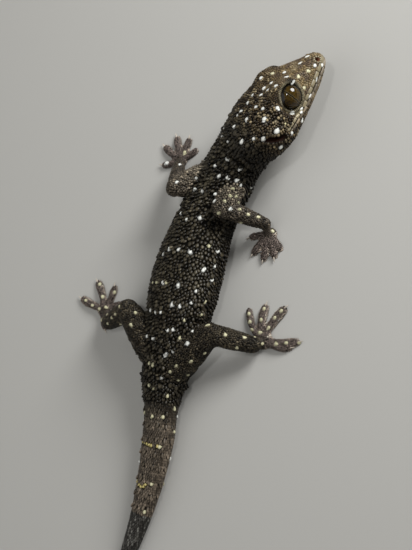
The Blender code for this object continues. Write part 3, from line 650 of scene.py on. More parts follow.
# The ring of scales round a nostril: size, how much they follow the skin, and steps to settle
RIM_SIZE = (0.48, 0.42, 0.3, 0.0)
RIM_HUG = 0.7
RIM_STEPS = 3

# Scales on the lids: for each row the turn from facing away from the eye's axis to facing along
# it, the gap and the half width; then the length round the lids, the sink, and length and height
LID_ROWS = ((-20.0, 0.66, 0.36), (15.0, 0.62, 0.34), (50.0, 0.6, 0.33), (84.0, 0.56, 0.31),
            (118.0, 0.7, 0.36))
LID_ROUND = 32.0
LID_SCALE_SINK = 0.12
LID_SCALE = (1.15, 0.75)

# Their colour: the turn beyond which a row is on the edge, how pale such a row and the others are,
# the flecks, and the painted shade in the fold at the front; then the ring's shade and painted shade on
# its inner side
LID_EDGE_LEAN = 60.0
LID_SHARES = (0.9, 0.3)
LID_FLECKS = (0.25, 1.5)
LID_GRAIN = (1.4, 8)
LID_CANTHUS_SHADE = 0.8
LID_SHADE = 0.8
LID_INNER_SHADE = (0.3, 0.75)

# Plates under the toes: the shares of the toe that they cover, their gap, half length and height
LAMELLA_SPAN = (0.42, 0.97)
LAMELLA_GAP = 0.62
LAMELLA_SIZE = (0.42, 0.5)
LAMELLA_OVERHANG = 0.08

# Claws: rings and sides, how far back and how high the root is, length, arch, drop, half width and
# taper, flatness, and the tip ahead of the root and below it
CLAW_RINGS = 8
CLAW_SIDES = 10
CLAW_ROOT = 0.7
CLAW_HEIGHT = 0.72
CLAW_LENGTH = 2.0
CLAW_ARCH = 0.28
CLAW_BEND = 2.6
CLAW_DROP = 0.25
CLAW_RADIUS = 0.42
CLAW_TAPER = 0.7
CLAW_FLATNESS = 0.7
CLAW_TIP = (2.05, 0.2)


def smooth_step(low, high, values):
    """Share that rises smoothly from 0 at the low limit to 1 at the high one."""
    part = np.clip((np.asarray(values, float) - low) / (high - low), 0.0, 1.0)
    return part * part * (3.0 - 2.0 * part)


def between(values, low, full, fading, gone):
    """Share that rises between the first two limits and falls again between the last two."""
    return smooth_step(low, full, values) * (1 - smooth_step(fading, gone, values))


def ridge(values, height, middle, width):
    """A smooth ridge with its height at the middle."""
    return height * np.exp(-((values - middle) / width) ** 2)


def lifted(least, share):
    """A share from 0 to 1 that starts at the least value instead."""
    return least + (1 - least) * share


def mix(first, second, share):
    """Blend of two colours, which are arrays or names in COLOURS."""
    first, second = (np.asarray(COLOURS[tint] if isinstance(tint, str) else tint)
                     for tint in (first, second))
    share = np.asarray(share)[..., None]
    return first * (1.0 - share) + second * share


def unit(vectors):
    """Vectors in the same directions with length one."""
    return vectors / np.maximum(np.linalg.norm(vectors, axis=-1, keepdims=True), TINY)


def axes(yaw, pitch, roll):
    """Side, forward and up directions for angles in degrees; roll lifts the right side."""
    turn, lift, lean = (np.radians(np.asarray(value, float)) for value in (yaw, pitch, roll))
    forward = np.stack((np.sin(turn) * np.cos(lift), np.cos(turn) * np.cos(lift), np.sin(lift)), -1)
    level = np.stack((np.cos(turn), -np.sin(turn), np.zeros_like(turn)), -1)
    above = np.cross(level, forward)
    lean = lean[..., None]
    side = level * np.cos(lean) + above * np.sin(lean)
    return side, forward, above * np.cos(lean) - level * np.sin(lean)


HEAD_SIDE, HEAD_FORWARD, HEAD_UP = axes(HEAD_YAW, HEAD_PITCH, HEAD_ROLL)
HEAD_AXES = np.array((HEAD_SIDE, HEAD_FORWARD, HEAD_UP))


def from_head(points, side=1):
    """Takes points from the head's own axes, mirrored for a side of -1, to the part's."""
    return np.array(HEAD_ORIGIN) + np.asarray(points, float) * (side, 1, 1) @ HEAD_AXES


def to_head(points):
    """Takes points from the part's axes to the head's own."""
    return (np.asarray(points, float) - np.array(HEAD_ORIGIN)) @ HEAD_AXES.T


def head_direction(direction, side):
    """Takes a direction in the head's own axes, mirrored for a side of -1, to the part's."""
    return unit(np.array(direction) * (side, 1, 1) @ HEAD_AXES)


def body_rows():
    """All stations from tail tip to snout: centre, yaw, pitch, roll, width, rise, drop and power."""
    rows = [(x, y, z, yaw, 0.0, roll, width, rise, drop, SECTION_POWER)
            for x, y, z, yaw, roll, width, rise, drop in SPINE]
    for y, line, width, rise, drop in HEAD:
        centre = from_head((0.0, y, line))
        rows.append((*centre, HEAD_YAW, HEAD_PITCH, HEAD_ROLL, width, rise, drop,
                     HEAD_SECTION_POWER))
    return np.array(rows)


def run_lengths(points):
    """Length along a line of points at each of them."""
    steps = np.linalg.norm(np.diff(points, axis=0), axis=1)
    return np.concatenate(((0.0,), np.cumsum(steps)))


ROWS = body_rows()
ARC = run_lengths(ROWS[:, :3])
HEAD_FIRST = ARC[len(SPINE)]
HEAD_Y, MOUTH_LINE, HEAD_WIDTH = np.array(HEAD).T[:3]


def arc_at_y(y):
    """Length along the spine at which its centre passes y, behind the head."""
    return float(np.interp(y, ROWS[:len(SPINE), 1], ARC[:len(SPINE)]))


def head_arc(y):
    """Length along the spine at a station y of the head's own axes."""
    return float(np.interp(y, HEAD_Y, ARC[len(SPINE):]))


def stations(arcs):
    """Smooth curve through the stations, read at lengths along the spine."""
    arcs = np.asarray(arcs, float)
    index = np.clip(np.searchsorted(ARC, arcs) - 1, 0, len(ARC) - 2)
    span = (ARC[index + 1] - ARC[index])[:, None]
    part = (arcs - ARC[index])[:, None] / span
    slopes = []
    for at in (index, index + 1):
        low, high = np.maximum(at - 1, 0), np.minimum(at + 1, len(ARC) - 1)
        slopes.append((ROWS[high] - ROWS[low]) / (ARC[high] - ARC[low])[:, None] * span)
    square, cube = part ** 2, part ** 3
    return (ROWS[index] * (2 * cube - 3 * square + 1) + slopes[0] * (cube - 2 * square + part)
            + ROWS[index + 1] * (3 * square - 2 * cube) + slopes[1] * (cube - square))


def swell(local, forms):
    """Sum of smooth swellings at points in the head's axes."""
    total = np.zeros(local.shape[:-1])
    for centre, reach, height in forms:
        offset = (local - np.array(centre)) / np.array(reach)
        total += height * np.exp(-np.sum(offset * offset, axis=-1))
    return total


def surface(arcs, angles, grow=0.0):
    """Points on the body, at lengths along the spine and angles round it, grown by a thickness."""
    rows = stations(arcs)
    side, _, up = axes(*rows[:, 3:6].T)
    width, rise, drop = rows[:, 6], rows[:, 7], rows[:, 8]
    across, high = np.cos(np.radians(angles)), np.sin(np.radians(angles))
    power = 2.0 / rows[:, 9]
    height = np.where(high >= 0, rise, drop)
    lateral = np.maximum(width + grow, LEAST_WIDTH) * np.sign(across) * np.abs(across) ** power
    vertical = np.maximum(height + grow, LEAST_WIDTH) * np.sign(high) * np.abs(high) ** power
    outward = unit(side * (lateral / width ** 2)[:, None] + up * (vertical / height ** 2)[:, None])
    points = rows[:, :3] + side * lateral[:, None] + up * vertical[:, None]
    local = to_head(points)
    form = swell(np.abs(local) * (1, 0, 0) + local * (0, 1, 1), HEAD_FORMS)
    form = (form + swell(local, MIDLINE_FORMS)) * (np.asarray(arcs) > HEAD_FIRST)
    return points + outward * form[:, None]


def turns_of(count):
    """Even turns round a circle."""
    return np.arange(count) * 2 * math.pi / count


def circle(turns, first, second):
    """Directions at turns from the first one toward the second."""
    return np.outer(np.cos(turns), first) + np.outer(np.sin(turns), second)


def perpendicular(direction):
    """Two directions at right angles to the first and to each other."""
    helper = np.array(UP) if abs(direction[2]) < STEEP else np.array((1.0, 0.0, 0.0))
    first = unit(np.cross(direction, helper))
    return first, np.cross(direction, first)


def ring_faces(rows, sides, first=0, closed=False):
    """Faces with four corners between rings of points, and from the last to the first if closed."""
    faces = []
    for row in range(rows if closed else rows - 1):
        low, high = first + row * sides, first + (row + 1) % rows * sides
        for at in range(sides):
            after = (at + 1) % sides
            faces.append((low + at, low + after, high + after, high + at))
    return faces


def halved(faces):
    """Two triangles for each face with four corners."""
    return [half for one, two, three, four in faces for half in ((one, two, three), (one, three, four))]


def tube_faces(rows, sides, first=0):
    """Faces of a tube of rings, with the two end points after the rings."""
    faces = ring_faces(rows, sides, first)
    start, end = first + rows * sides, first + (rows - 1) * sides
    for at in range(sides):
        after = (at + 1) % sides
        faces.append((first + after, first + at, start))
        faces.append((end + at, end + after, start + 1))
    return faces


def tube(rings, start, stop):
    """Points and faces of a closed tube."""
    points = np.concatenate([np.asarray(ring, float) for ring in rings] + [[start], [stop]])
    return points, tube_faces(len(rings), len(rings[0]))


def body_shell():
    """The body from tail tip to snout, a coat's depth inside the part."""
    count = int(ARC[-1] / SHELL_STEP)
    arcs = np.linspace(0.0, ARC[-1], count)
    angles = np.arange(SHELL_SIDES) * 360.0 / SHELL_SIDES
    arcs, angles = (grid.ravel() for grid in np.meshgrid(arcs, angles, indexing="ij"))
    thin = -BODY_COAT * smooth_step(0.0, COAT_RAMP, arcs) - TIP_COAT
    rings = surface(arcs, angles, thin).reshape(count, SHELL_SIDES, 3)
    tip = from_head((0.0, HEAD_LENGTH - BODY_COAT, 0.0))
    return tube(rings, rings[0].mean(axis=0), tip)


def limb_shell(start, stop, low, high, muscle=True):
    """A round-ended tapered limb length."""
    start, stop = np.array(start), np.array(stop)
    length = np.linalg.norm(stop - start)
    along = (stop - start) / length
    around = circle(turns_of(LIMB_SIDES), *perpendicular(along))
    leans = np.radians(END_LEANS)
    rings = [start - along * low * math.cos(lean) + around * low * math.sin(lean) for lean in leans]
    for part in np.linspace(0.0, 1.0, LIMB_RINGS):
        fat = float(np.interp(part, *zip(*LIMB_MUSCLE))) if muscle else 1.0
        rings.append(start + along * length * part + around * (low + (high - low) * part) * fat)
    rings += [stop + along * high * math.cos(lean) + around * high * math.sin(lean)
              for lean in leans[::-1]]
    return tube(rings, start - along * low, stop + along * high)


def toe_path(centre, heading, length, bend, part):
    """A place on a toe's middle line, at the floor, and the way that it runs there."""
    turn, away = math.radians(heading), math.radians(heading + bend)
    tip = np.array((math.cos(turn), math.sin(turn), 0.0)) * length
    middle = np.array((math.cos(away), math.sin(away), 0.0)) * length / 2
    place = middle * 2 * part * (1 - part) + tip * part ** 2
    way = middle * (1 - 2 * part) + tip * part
    return np.array((*centre, 0.0)) + place, unit(way)


def toe_shell(centre, heading, length, width, bend):
    """A flattened toe that widens into its pad, its underside just above the floor."""
    above = np.array(UP)
    parts, wides, highs = zip(*TOE_PROFILE)
    rings = []
    for part in np.linspace(0.0, 1.0, TOE_RINGS):
        half = width * np.interp(part, parts, wides) - TOE_COAT
        high = np.interp(part, parts, highs) - 2 * TOE_COAT
        place, way = toe_path(centre, heading, length - TOE_COAT, bend, part)
        across = np.cross(above, way)
        ring = []
        for lean in turns_of(TOE_SIDES):
            rise = TOE_COAT + (max(math.sin(lean), -TOE_SOLE) + TOE_SOLE) * high
            ring.append(place + across * half * math.cos(lean) + above * rise)
        rings.append(ring)
    return tube(rings, np.mean(rings[0], axis=0), np.mean(rings[-1], axis=0))


def palm_shell(centre, palm):
    """The low dome of a palm, flat at the floor."""
    high = PALM_HEIGHT - LIMB_COAT
    rings = []
    for lean in np.radians(PALM_LEANS):
        reach = (palm - LIMB_COAT) * math.sin(lean)
        rings.append([(centre[0] + reach * math.cos(turn), centre[1] + reach * math.sin(turn),
                       LIMB_COAT + high * math.cos(lean)) for turn in turns_of(LIMB_SIDES)])
    rings.append([(x, y, LIMB_COAT) for x, y, _ in rings[-1]])
    return tube(rings, (*centre, LIMB_COAT + high), (*centre, LIMB_COAT))


def limb_radii(limb):
    """Half widths at the start and end of a limb's upper length, then of its lower one."""
    return ARM_RADII if limb.startswith("arm") else LEG_RADII


def shells():
    """All the closed shells that the skin is fused from."""
    made = [body_shell()]
    for limb, (start, bend, stop) in LIMBS.items():
        radii = [radius - LIMB_COAT for radius in limb_radii(limb)]
        centre, palm, toes = FEET[limb]
        made.append(limb_shell(start, bend, radii[0], radii[1]))
        made.append(limb_shell(bend, stop, radii[2], radii[3]))
        instep = radii[3] * INSTEP_SHARE
        high = PALM_HEIGHT / 2
        made.append(limb_shell(stop, (*centre, high), instep, high - LIMB_COAT, False))
        made.append(palm_shell(centre, palm))
        made += [toe_shell(centre, *toe) for toe in toes]
    return made


def new_object(name, data):
    """An object in the scene for a mesh, a light or a camera."""
    made = bpy.data.objects.new(name, data)
    bpy.context.scene.collection.objects.link(made)
    return made


def closed_mesh(name, points, faces):
    """A mesh from points and faces, with its faces all turned outward."""
    mesh = bpy.data.meshes.new(name)
    mesh.from_pydata((np.array(points) * MM).tolist(), [], faces)
    shape = bmesh.new()
    shape.from_mesh(mesh)
    bmesh.ops.recalc_face_normals(shape, faces=shape.faces)
    shape.to_mesh(mesh)
    shape.free()
    return mesh


def fused(parts):
    """One even closed mesh round all the shells."""
    points, faces = [], []
    for shell_points, shell_faces in parts:
        first = len(points)
        points += shell_points.tolist()
        faces += [tuple(first + at for at in face) for face in shell_faces]
    made = new_object("shells", closed_mesh("shells", points, faces))
    step = made.modifiers.new("fuse", "REMESH")
    step.mode = "VOXEL"
    step.voxel_size = SKIN_CELL * MM
    view = bpy.context.evaluated_depsgraph_get()
    result = bpy.data.meshes.new_from_object(made.evaluated_get(view))
    bpy.data.objects.remove(made, do_unlink=True)
    return result


def read(items, name, size, kind=np.float32):
    """One property of a mesh's items as an array, with a row for each item."""
    values = np.empty(len(items) * size, kind)
    items.foreach_get(name, values)
    return values.reshape(-1, size)


def mesh_points(mesh):
    """A mesh's points in millimetres."""
    return read(mesh.vertices, "co", 3).astype(float) / MM


def set_points(mesh, points):
    """Moves a mesh's points to places in millimetres."""
    mesh.vertices.foreach_set("co", (points * MM).astype(np.float32).ravel())
    mesh.update()


def relaxed(points, edges, weights, steps):
    """Moves points toward the mean of their neighbours, by one weight or by each its own."""
    count = len(points)
    weights = np.broadcast_to(weights, count)[:, None]
    degree = np.bincount(edges.ravel(), minlength=count).astype(float)[:, None]
    for _ in range(steps):
        total = np.zeros_like(points)
        for axis in range(3):
            total[:, axis] = (np.bincount(edges[:, 0], points[edges[:, 1], axis], count)
                              + np.bincount(edges[:, 1], points[edges[:, 0], axis], count))
        points = points + (total / degree - points) * weights
    return points


def tree_of(points):
    """A search tree over points, which gives back their indexes."""
    tree = KDTree(len(points))
    for index, point in enumerate(points.tolist()):
        tree.insert(point, index)
    tree.balance()
    return tree


class Places:
    """Where points lie on the animal: along and round the body, or along and round a limb."""

    def __init__(self, points):
        self.points = np.asarray(points, float)
        self.local = to_head(self.points)
        self.find_on_body()
        self.find_on_limbs()
        self.on_limb = self.limb_gap < self.body_gap
        self.on_arm = self.limb < ARMS

    def find_on_body(self):
        """Sets the length along the spine, the angle round it, the level, which is that angle above
        the side on either side, the gap to the body and the way to the tail."""
        arcs = np.linspace(0.0, ARC[-1], SPINE_READS)
        rows = stations(arcs)
        tree = tree_of(rows[:, :3])
        nearest = np.array([tree.find(point)[1] for point in self.points.tolist()])
        _, forward, _ = axes(*rows[:, 3:6].T)
        offset = self.points - rows[nearest, :3]
        self.arc = arcs[nearest] + np.sum(offset * forward[nearest], axis=1)
        row = stations(np.clip(self.arc, 0.0, ARC[-1]))
        side, forward, up = axes(*row[:, 3:6].T)
        offset = self.points - row[:, :3]
        lateral, vertical = np.sum(offset * side, axis=1), np.sum(offset * up, axis=1)
        height = np.where(vertical >= 0, row[:, 7], row[:, 8])
        power = row[:, 9]
        wide, tall = np.abs(lateral / row[:, 6]), np.abs(vertical / height)
        across = wide ** (power / 2) * np.sign(lateral)
        high = tall ** (power / 2) * np.sign(vertical)
        self.angle = np.degrees(np.arctan2(high, across))
        self.level = np.where(self.angle < -90, -180 - self.angle,
                              np.minimum(self.angle, 180 - self.angle))
        round_size = (wide ** power + tall ** power) ** (1 / power)
        self.body_gap = np.hypot(lateral, vertical) * (1 - 1 / np.maximum(round_size, SMALL))
        self.body_gap += np.maximum(self.arc - ARC[-1], 0) + np.maximum(-self.arc, 0)
        self.backward = -forward

    def find_on_limbs(self):
        """Sets the nearest limb and its segment, the part of the way along it, the gap to it, the way
        outward along it and the offset from its axis."""
        count = len(self.points)
        self.limb_gap = np.full(count, np.inf)
        self.limb = np.zeros(count, int)
        self.segment = np.zeros(count, int)
        self.part = np.zeros(count)
        self.outward_way = np.zeros((count, 3))
        self.axis_offset = np.zeros((count, 3))
        for number, limb in enumerate(LIMBS):
            for start, stop, low, high, segment, first, last in limb_segments(limb):
                along = stop - start
                part = np.clip((self.points - start) @ along / (along @ along), 0.0, 1.0)
                offset = self.points - start - part[:, None] * along
                gap = np.linalg.norm(offset, axis=1) - (low + (high - low) * part)
                closer = gap < self.limb_gap
                self.limb_gap[closer] = gap[closer]
                self.limb[closer] = number
                self.segment[closer] = segment
                self.part[closer] = first + (last - first) * part[closer]
                self.outward_way[closer] = along / np.linalg.norm(along)
                self.axis_offset[closer] = offset[closer]

    def near_join(self, limb_reach, body_reach):
        """Share, from 0 to 1, by which places are close to a limb and to the body at once."""
        return np.exp(-(self.limb_gap / limb_reach) ** 2 - (self.body_gap / body_reach) ** 2)

    def lie(self):
        """The way that scales lie: toward the tail, and down each limb."""
        return np.where(self.on_limb[:, None], self.outward_way, self.backward)

    def unwrap(self):
        """A flat layout of the skin's own shape, from 0 to 1, with a row for each limb above the
        body's."""
        body = (np.clip(self.arc / ARC[-1], 0.0, 1.0),
                FLAT_EDGE + FLAT_BODY * ((self.angle + 90.0) % 360.0) / 360.0)
        around = np.arctan2(self.axis_offset[:, 2], self.axis_offset[:, 0] + self.axis_offset[:, 1])
        limb = (self.segment / FLAT_CELLS + self.part * FLAT_CELL,
                FLAT_LIMBS + FLAT_ROW * self.limb + FLAT_ROW_FILL * (around + math.pi) / (2 * math.pi))
        along, up = (np.where(self.on_limb, *pair) for pair in zip(limb, body))
        return np.stack((FLAT_EDGE + FLAT_SPAN * along, up), -1)


def limb_segments(limb):
    """A limb's straight lengths: start, stop, the half widths there, the number of the sub-part
    (upper length, lower length, instep, then the toes) and the shares of it where they start and
    stop."""
    start, bend, stop = (np.array(joint) for joint in LIMBS[limb])
    radii = limb_radii(limb)
    centre, palm, toes = FEET[limb]
    middle = np.array((*centre, PALM_HEIGHT / 3))
    segments = [(start, bend, radii[0], radii[1], 0, 0.0, 1.0),
                (bend, stop, radii[2], radii[3], 1, 0.0, 1.0),
                (stop, middle, radii[3] * INSTEP_SHARE, PALM_HEIGHT / 2, INSTEP, 0.0, 1.0)]
    raised = np.array((0.0, 0.0, TOE_AXIS_HEIGHT))
    for number, (heading, length, width, turn) in enumerate(toes, INSTEP + 1):
        shares = np.linspace(TOE_ROOT * palm / length, 1.0 - TOE_ROUND / length, TOE_LENGTHS + 1)
        for first, last in zip(shares, shares[1:]):
            low, high = (toe_path(centre, heading, length, turn, share)[0] + raised
                         for share in (first, last))
            segments.append((low, high, width * TOE_CORE, width * TOE_CORE, number, first, last))
    return segments


def build_skin():
    """The fused, smoothed and sculpted skin, finer on the head."""
    mesh = fused(shells())
    edges = read(mesh.edges, "vertices", 2, np.int32)
    points = relaxed(mesh_points(mesh), edges, SMOOTHING, FIRST_STEPS)
    places = Places(points)
    near_both = places.near_join(JOIN_REACH, JOIN_REACH)
    near_both[places.on_limb & (places.segment >= INSTEP)] = 0.0
    points = relaxed(points, edges, JOIN_SMOOTHING * near_both, JOIN_STEPS)
    joints = [joint for limb in LIMBS.values() for joint in limb[1:]]
    near_joint = np.max([np.exp(-np.sum((points - joint) ** 2, axis=1) / JOINT_REACH ** 2)
                         for joint in joints], axis=0)
    points = relaxed(points, edges, SMOOTHING * near_joint, JOINT_STEPS)
    for step in range(FAIR_STEPS):
        points = relaxed(points, edges, FAIR_WEIGHTS[step % 2], 1)
    set_points(mesh, points)
    refine(mesh, to_head(points)[:, 1] > FINE_HEAD_Y)
    points = mesh_points(mesh)
    refine(mesh, np.min([nostril_distance(points, side) for side in SIDES], axis=0) < NOSTRIL_REACH)
    sculpt(mesh)
    return mesh


def refine(mesh, inside):
    """Cuts each face in four whose points are all inside."""
    shape = bmesh.new()
    shape.from_mesh(mesh)
    shape.verts.ensure_lookup_table()
    faces = [face for face in shape.faces if all(inside[vert.index] for vert in face.verts)]
    edges = {edge for face in faces for edge in face.edges}
    bmesh.ops.subdivide_edges(shape, edges=list(edges), cuts=1, use_grid_fill=True,
                              smooth=CUT_SMOOTHING)
    bmesh.ops.triangulate(shape, faces=[face for face in shape.faces if len(face.verts) > 4])
    shape.to_mesh(mesh)
    shape.free()


def eye_axes(side):
    """The eye's centre, the way it looks, and the long and short ways of its lids' opening."""
    outward = head_direction(EYE_AXIS, side)
    level = unit(HEAD_FORWARD - outward * (HEAD_FORWARD @ outward))
    upward = np.cross(outward, level) * side
    lean = math.radians(LID_LEAN)
    lengthwise = upward * math.cos(lean) + level * math.sin(lean)
    crosswise = level * math.cos(lean) - upward * math.sin(lean)
    return from_head(EYE_CENTRE, side), outward, lengthwise, crosswise


def lid_reach(turn):
    """Reach of the lids' opening from the eye's axis, at turns from its long way."""
    return 1 / np.hypot(np.cos(turn) / LID_OPENING[0], np.sin(turn) / LID_OPENING[1])


def lid_height(reach):
    """Height of the lids' ring out along the eye's axis, at its reach from that axis."""
    return np.maximum(LID_LOWEST, np.sqrt(np.maximum(EYE_RADIUS ** 2 - reach ** 2, 0.0)))


def eye_measures(points, side):
    """Height out along the eye's axis, distance beyond the edge of the lids' opening, and the turn
    from the opening's long way."""
    centre, outward, lengthwise, crosswise = eye_axes(side)
    offset = points - centre
    along, across = offset @ lengthwise, offset @ crosswise
    turn = np.arctan2(across, along)
    return offset @ outward, np.hypot(along, across) - lid_reach(turn), turn


def canthus(points, side):
    """Share, from 0 to 1, by which places lie in the fold at the front of an eye, which is pushed in
    and darkened with painted shade.
    """
    out, beyond, turn = eye_measures(points, side)
    near = between(beyond, *CANTHUS_SPAN) * (out > 0)
    return near * ridge(turn, 1.0, CANTHUS_TURN, CANTHUS_WIDTH)


def ear_measure(points, side):
    """Below one inside the ear's oval on that side of the head."""
    tilt = math.radians(EAR_TILT)
    offset = to_head(points) - np.array(EAR_CENTRE) * (side, 1, 1)
    lengthwise = -offset[:, 1] * math.sin(tilt) + offset[:, 2] * math.cos(tilt)
    across = offset[:, 1] * math.cos(tilt) + offset[:, 2] * math.sin(tilt)
    size = np.hypot(across / EAR_SIZE[0], lengthwise / EAR_SIZE[1])
    return np.where(np.abs(offset[:, 0]) < EAR_NEAR, size, FAR)


def nostril_distance(points, side):
    """Distance from the line that runs into the nostril; large away from its mouth."""
    way = head_direction(NOSTRIL_AXIS, side)
    offset = points - from_head(NOSTRIL_CENTRE, side)
    depth = offset @ way
    away = np.linalg.norm(offset - depth[:, None] * way, axis=1)
    return np.where(np.abs(depth) < NOSTRIL_NEAR, away, FAR)


def mouth_height(local):
    """Height above the mouth line, at points in the head's axes."""
    return local[:, 2] - np.interp(local[:, 1], HEAD_Y, MOUTH_LINE)


def sculpt(mesh):
    """Pushes in the ears, nostrils and mouth, and raises the lids and the skin's folds."""
    points = mesh_points(mesh)
    normals = read(mesh.vertex_normals, "vector", 3).astype(float)
    local = to_head(points)
    push = np.zeros(len(points))
    shift = np.zeros_like(points)
    for side in SIDES:
        ear = ear_measure(points, side)
        push -= EAR_DEPTH * (1 - smooth_step(*EAR_WALL, ear))
        push += ridge(ear, *EAR_RIM)
        hole = nostril_distance(points, side)
        inward = NOSTRIL_DEPTH * (1 - smooth_step(*NOSTRIL_WALL, hole))
        shift -= np.outer(inward, head_direction(NOSTRIL_AXIS, side))
        push += ridge(hole, *NOSTRIL_RIM)
        push -= CANTHUS_DEPTH * canthus(points, side)
    along_mouth = smooth_step(MOUTH_CORNER_Y - 1.0, MOUTH_CORNER_Y + 0.5, local[:, 1])
    push += ridge(mouth_height(local), *MOUTH_CREASE) * along_mouth
    push += folds(Places(points))
    points = points + normals * push[:, None] + shift
    for side in SIDES:
        points = fit_to_eye(points, side)
    points[:, 2] = np.maximum(points[:, 2], SKIN_LOWEST)
    set_points(mesh, points)


def fit_to_eye(points, side):
    """Brings the skin up to the lids' ring, and sinks it into the eye inside their opening."""
    centre, outward, _, _ = eye_axes(side)
    out, beyond, _ = eye_measures(points, side)
    offset = points - centre
    away = np.linalg.norm(offset - out[:, None] * outward, axis=1)
    near = (out > 0) * ridge(beyond, 1.0, LID_THICKNESS, LID_BLEND)
    points = points + outward * ((lid_height(away) - out) * near)[:, None]
    offset = points - centre
    size = np.linalg.norm(offset, axis=1)
    inside = (out > 0) & (beyond < OPENING_MARGINS[0])
    share = np.where(inside, np.minimum(1.0, (EYE_RADIUS - EYE_SINK) / size), 1.0)
    return centre + offset * share[:, None]


def folds(places):
    """Creases of loose skin at the neck, the flanks, the vent and the limbs' roots."""
    rough = np.array([noise.noise(Vector(place)) for place in (places.points * CREASE_GRAIN).tolist()])
    crease = np.maximum(0.0, 1.0 - np.abs(rough) * CREASE_FINENESS) ** CREASE_POWER
    neck = ridge(places.arc, NECK_CREASES, arc_at_y(NECK_Y), NECK_REACH)
    amount = np.clip(places.near_join(*CREASE_REACH) + neck, 0.0, 1.0) * (places.segment < INSTEP)
    amount[places.local[:, 1] > CREASE_END_Y] = 0.0
    along = between(places.points[:, 1], *FLANK_SPAN)
    seam = ridge(places.level, *FLANK_FOLD) + ridge(places.level, *FLANK_CREASE)
    push = seam * along * ~places.on_limb - crease * amount
    for height, y, length, width in VENT_FORMS:
        push = push + height * np.exp(-((places.arc - arc_at_y(y)) / length) ** 2
                                      - ((places.level - VENT_LEVEL) / width) ** 2)
    return push


def bvh_of(*meshes):
    """A search tree over all the faces of the meshes."""
    points, faces = [], []
    for mesh in meshes:
        first = len(points)
        points += mesh_points(mesh).tolist()
        faces += [[first + at for at in face.vertices] for face in mesh.polygons]
    return BVHTree.FromPolygons(points, faces)


def on_skin(skin_tree, points):
    """The skin's nearest points, its outward directions there, and how far away they are."""
    found = [skin_tree.find_nearest(point) for point in points.tolist()]
    return tuple(np.array([item[part] for item in found]) for part in (0, 1, 3))


def camera_axes():
    """The picture's right and up directions, and the way back toward the camera."""
    tilt, turn = math.radians(CAMERA_TILT), math.radians(CAMERA_TURN)
    toward = np.array((math.sin(tilt), 0.0, math.cos(tilt)))
    flat_right = np.array((math.cos(tilt), 0.0, -math.sin(tilt)))
    flat_up = np.array((0.0, 1.0, 0.0))
    right = flat_right * math.cos(turn) + flat_up * math.sin(turn)
    up = flat_up * math.cos(turn) - flat_right * math.sin(turn)
    return right, up, toward


def picture_ray(x, y):
    """The way from the camera through a place in the picture."""
    right, up, toward = camera_axes()
    reach = CAMERA_LENS * PICTURE[1] / SENSOR
    way = right * (x - PICTURE[0] / 2) - up * (y - PICTURE[1] / 2) - toward * reach
    return way / np.linalg.norm(way)


def near_openings(points, lid_margin, ear_margin, nostril_margin):
    """True for points within these measures of an eye's, an ear's or a nostril's opening."""
    near = np.zeros(len(points), bool)
    for side in SIDES:
        out, beyond, _ = eye_measures(points, side)
        near |= (out > 0) & (beyond < lid_margin)
        near |= ear_measure(points, side) < ear_margin
        near |= nostril_distance(points, side) < nostril_margin
    return near


def in_opening(point):
    """Whether a place is too close to an opening for a spot or a tubercle."""
    return near_openings(np.array(point)[None, :], *OPENING_MARGINS)[0]


def seen_spots(tree):
    """Pale spots that the picture shows, set on the skin: place, outward way, kind and share of
    that kind's size."""
    made = []
    for kind, places in SPOTS.items():
        for x, y in places:
            hit, normal, _, _ = tree.ray_cast(Vector(CAMERA_PLACE), Vector(picture_ray(x, y)))
            if hit is not None and not in_opening(hit):
                made.append((np.array(hit), np.array(normal), kind, 1.0))
    return made


def lobed(spots, skin_tree, draw):
    """The spots with a smaller lobe beside half of them, which makes them uneven."""
    made = list(spots)
    for place, normal, kind, _ in spots:
        first, second = perpendicular(normal)
        for _ in range(draw.integers(0, 2)):
            turn, size = draw.uniform(0, 2 * math.pi), draw.uniform(*LOBE_SIZE)
            reach = SPOT_KINDS[kind][0] * draw.uniform(*LOBE_REACH)
            beside = place + (first * math.cos(turn) + second * math.sin(turn)) * reach
            hit, way, _, _ = skin_tree.find_nearest(beside.tolist())
            made.append((np.array(hit), np.array(way), kind, size))
    return made


def skin_samples(mesh, count, draw):
    """Even random places on the skin, with their outward directions."""
    mesh.calc_loop_triangles()
    corners = read(mesh.loop_triangles, "vertices", 3, np.int32)
    points = mesh_points(mesh)
    normals = read(mesh.vertex_normals, "vector", 3).astype(float)
    first, second, third = (points[corners[:, at]] for at in range(3))
    area = np.linalg.norm(np.cross(second - first, third - first), axis=1)
    chosen = draw.choice(len(area), count, p=area / area.sum())
    one, two = draw.random(count), draw.random(count)
    flip = one + two > 1
    one[flip], two[flip] = 1 - one[flip], 1 - two[flip]
    shares = np.stack((1 - one - two, one, two), -1)
    places, ways = (sum(values[corners[chosen, at]] * shares[:, at:at + 1] for at in range(3))
                    for values in (points, normals))
    return places, unit(ways)


def scale_kinds(places):
    """The kind of scale at each place, as its name in SCALE_KINDS."""
    kinds = np.full(len(places.points), "back", "U5")
    below = places.level < BELLY_LEVEL
    kinds[below & (places.arc > arc_at_y(BELLY_END_Y))] = "belly"
    kinds[below & (places.arc > head_arc(CHIN_Y))] = "chin"
    on_head = (places.arc > head_arc(NAPE_Y)) & (kinds == "back")
    kinds[on_head] = "nape"
    kinds[on_head & (places.local[:, 1] > CROWN_Y)] = "head"
    kinds[on_head & (places.local[:, 1] > SNOUT_Y)] = "snout"
    kinds[places.arc < arc_at_y(TAIL_SCALES_Y)] = "tail"
    kinds[places.on_limb] = "limb"
    kinds[places.on_limb & (places.segment >= INSTEP)] = "toe"
    return kinds


def kind_values(kinds):
    """Gap, height, lean and cover for each scale's kind."""
    return np.array([SCALE_KINDS[kind] for kind in kinds.tolist()]).T


def lip_height(tall, share):
    """Height of a lip's plates at a share of the way from the mouth's corner to the snout."""
    return tall * (LIP_CORNER + LIP_GROWTH * share)


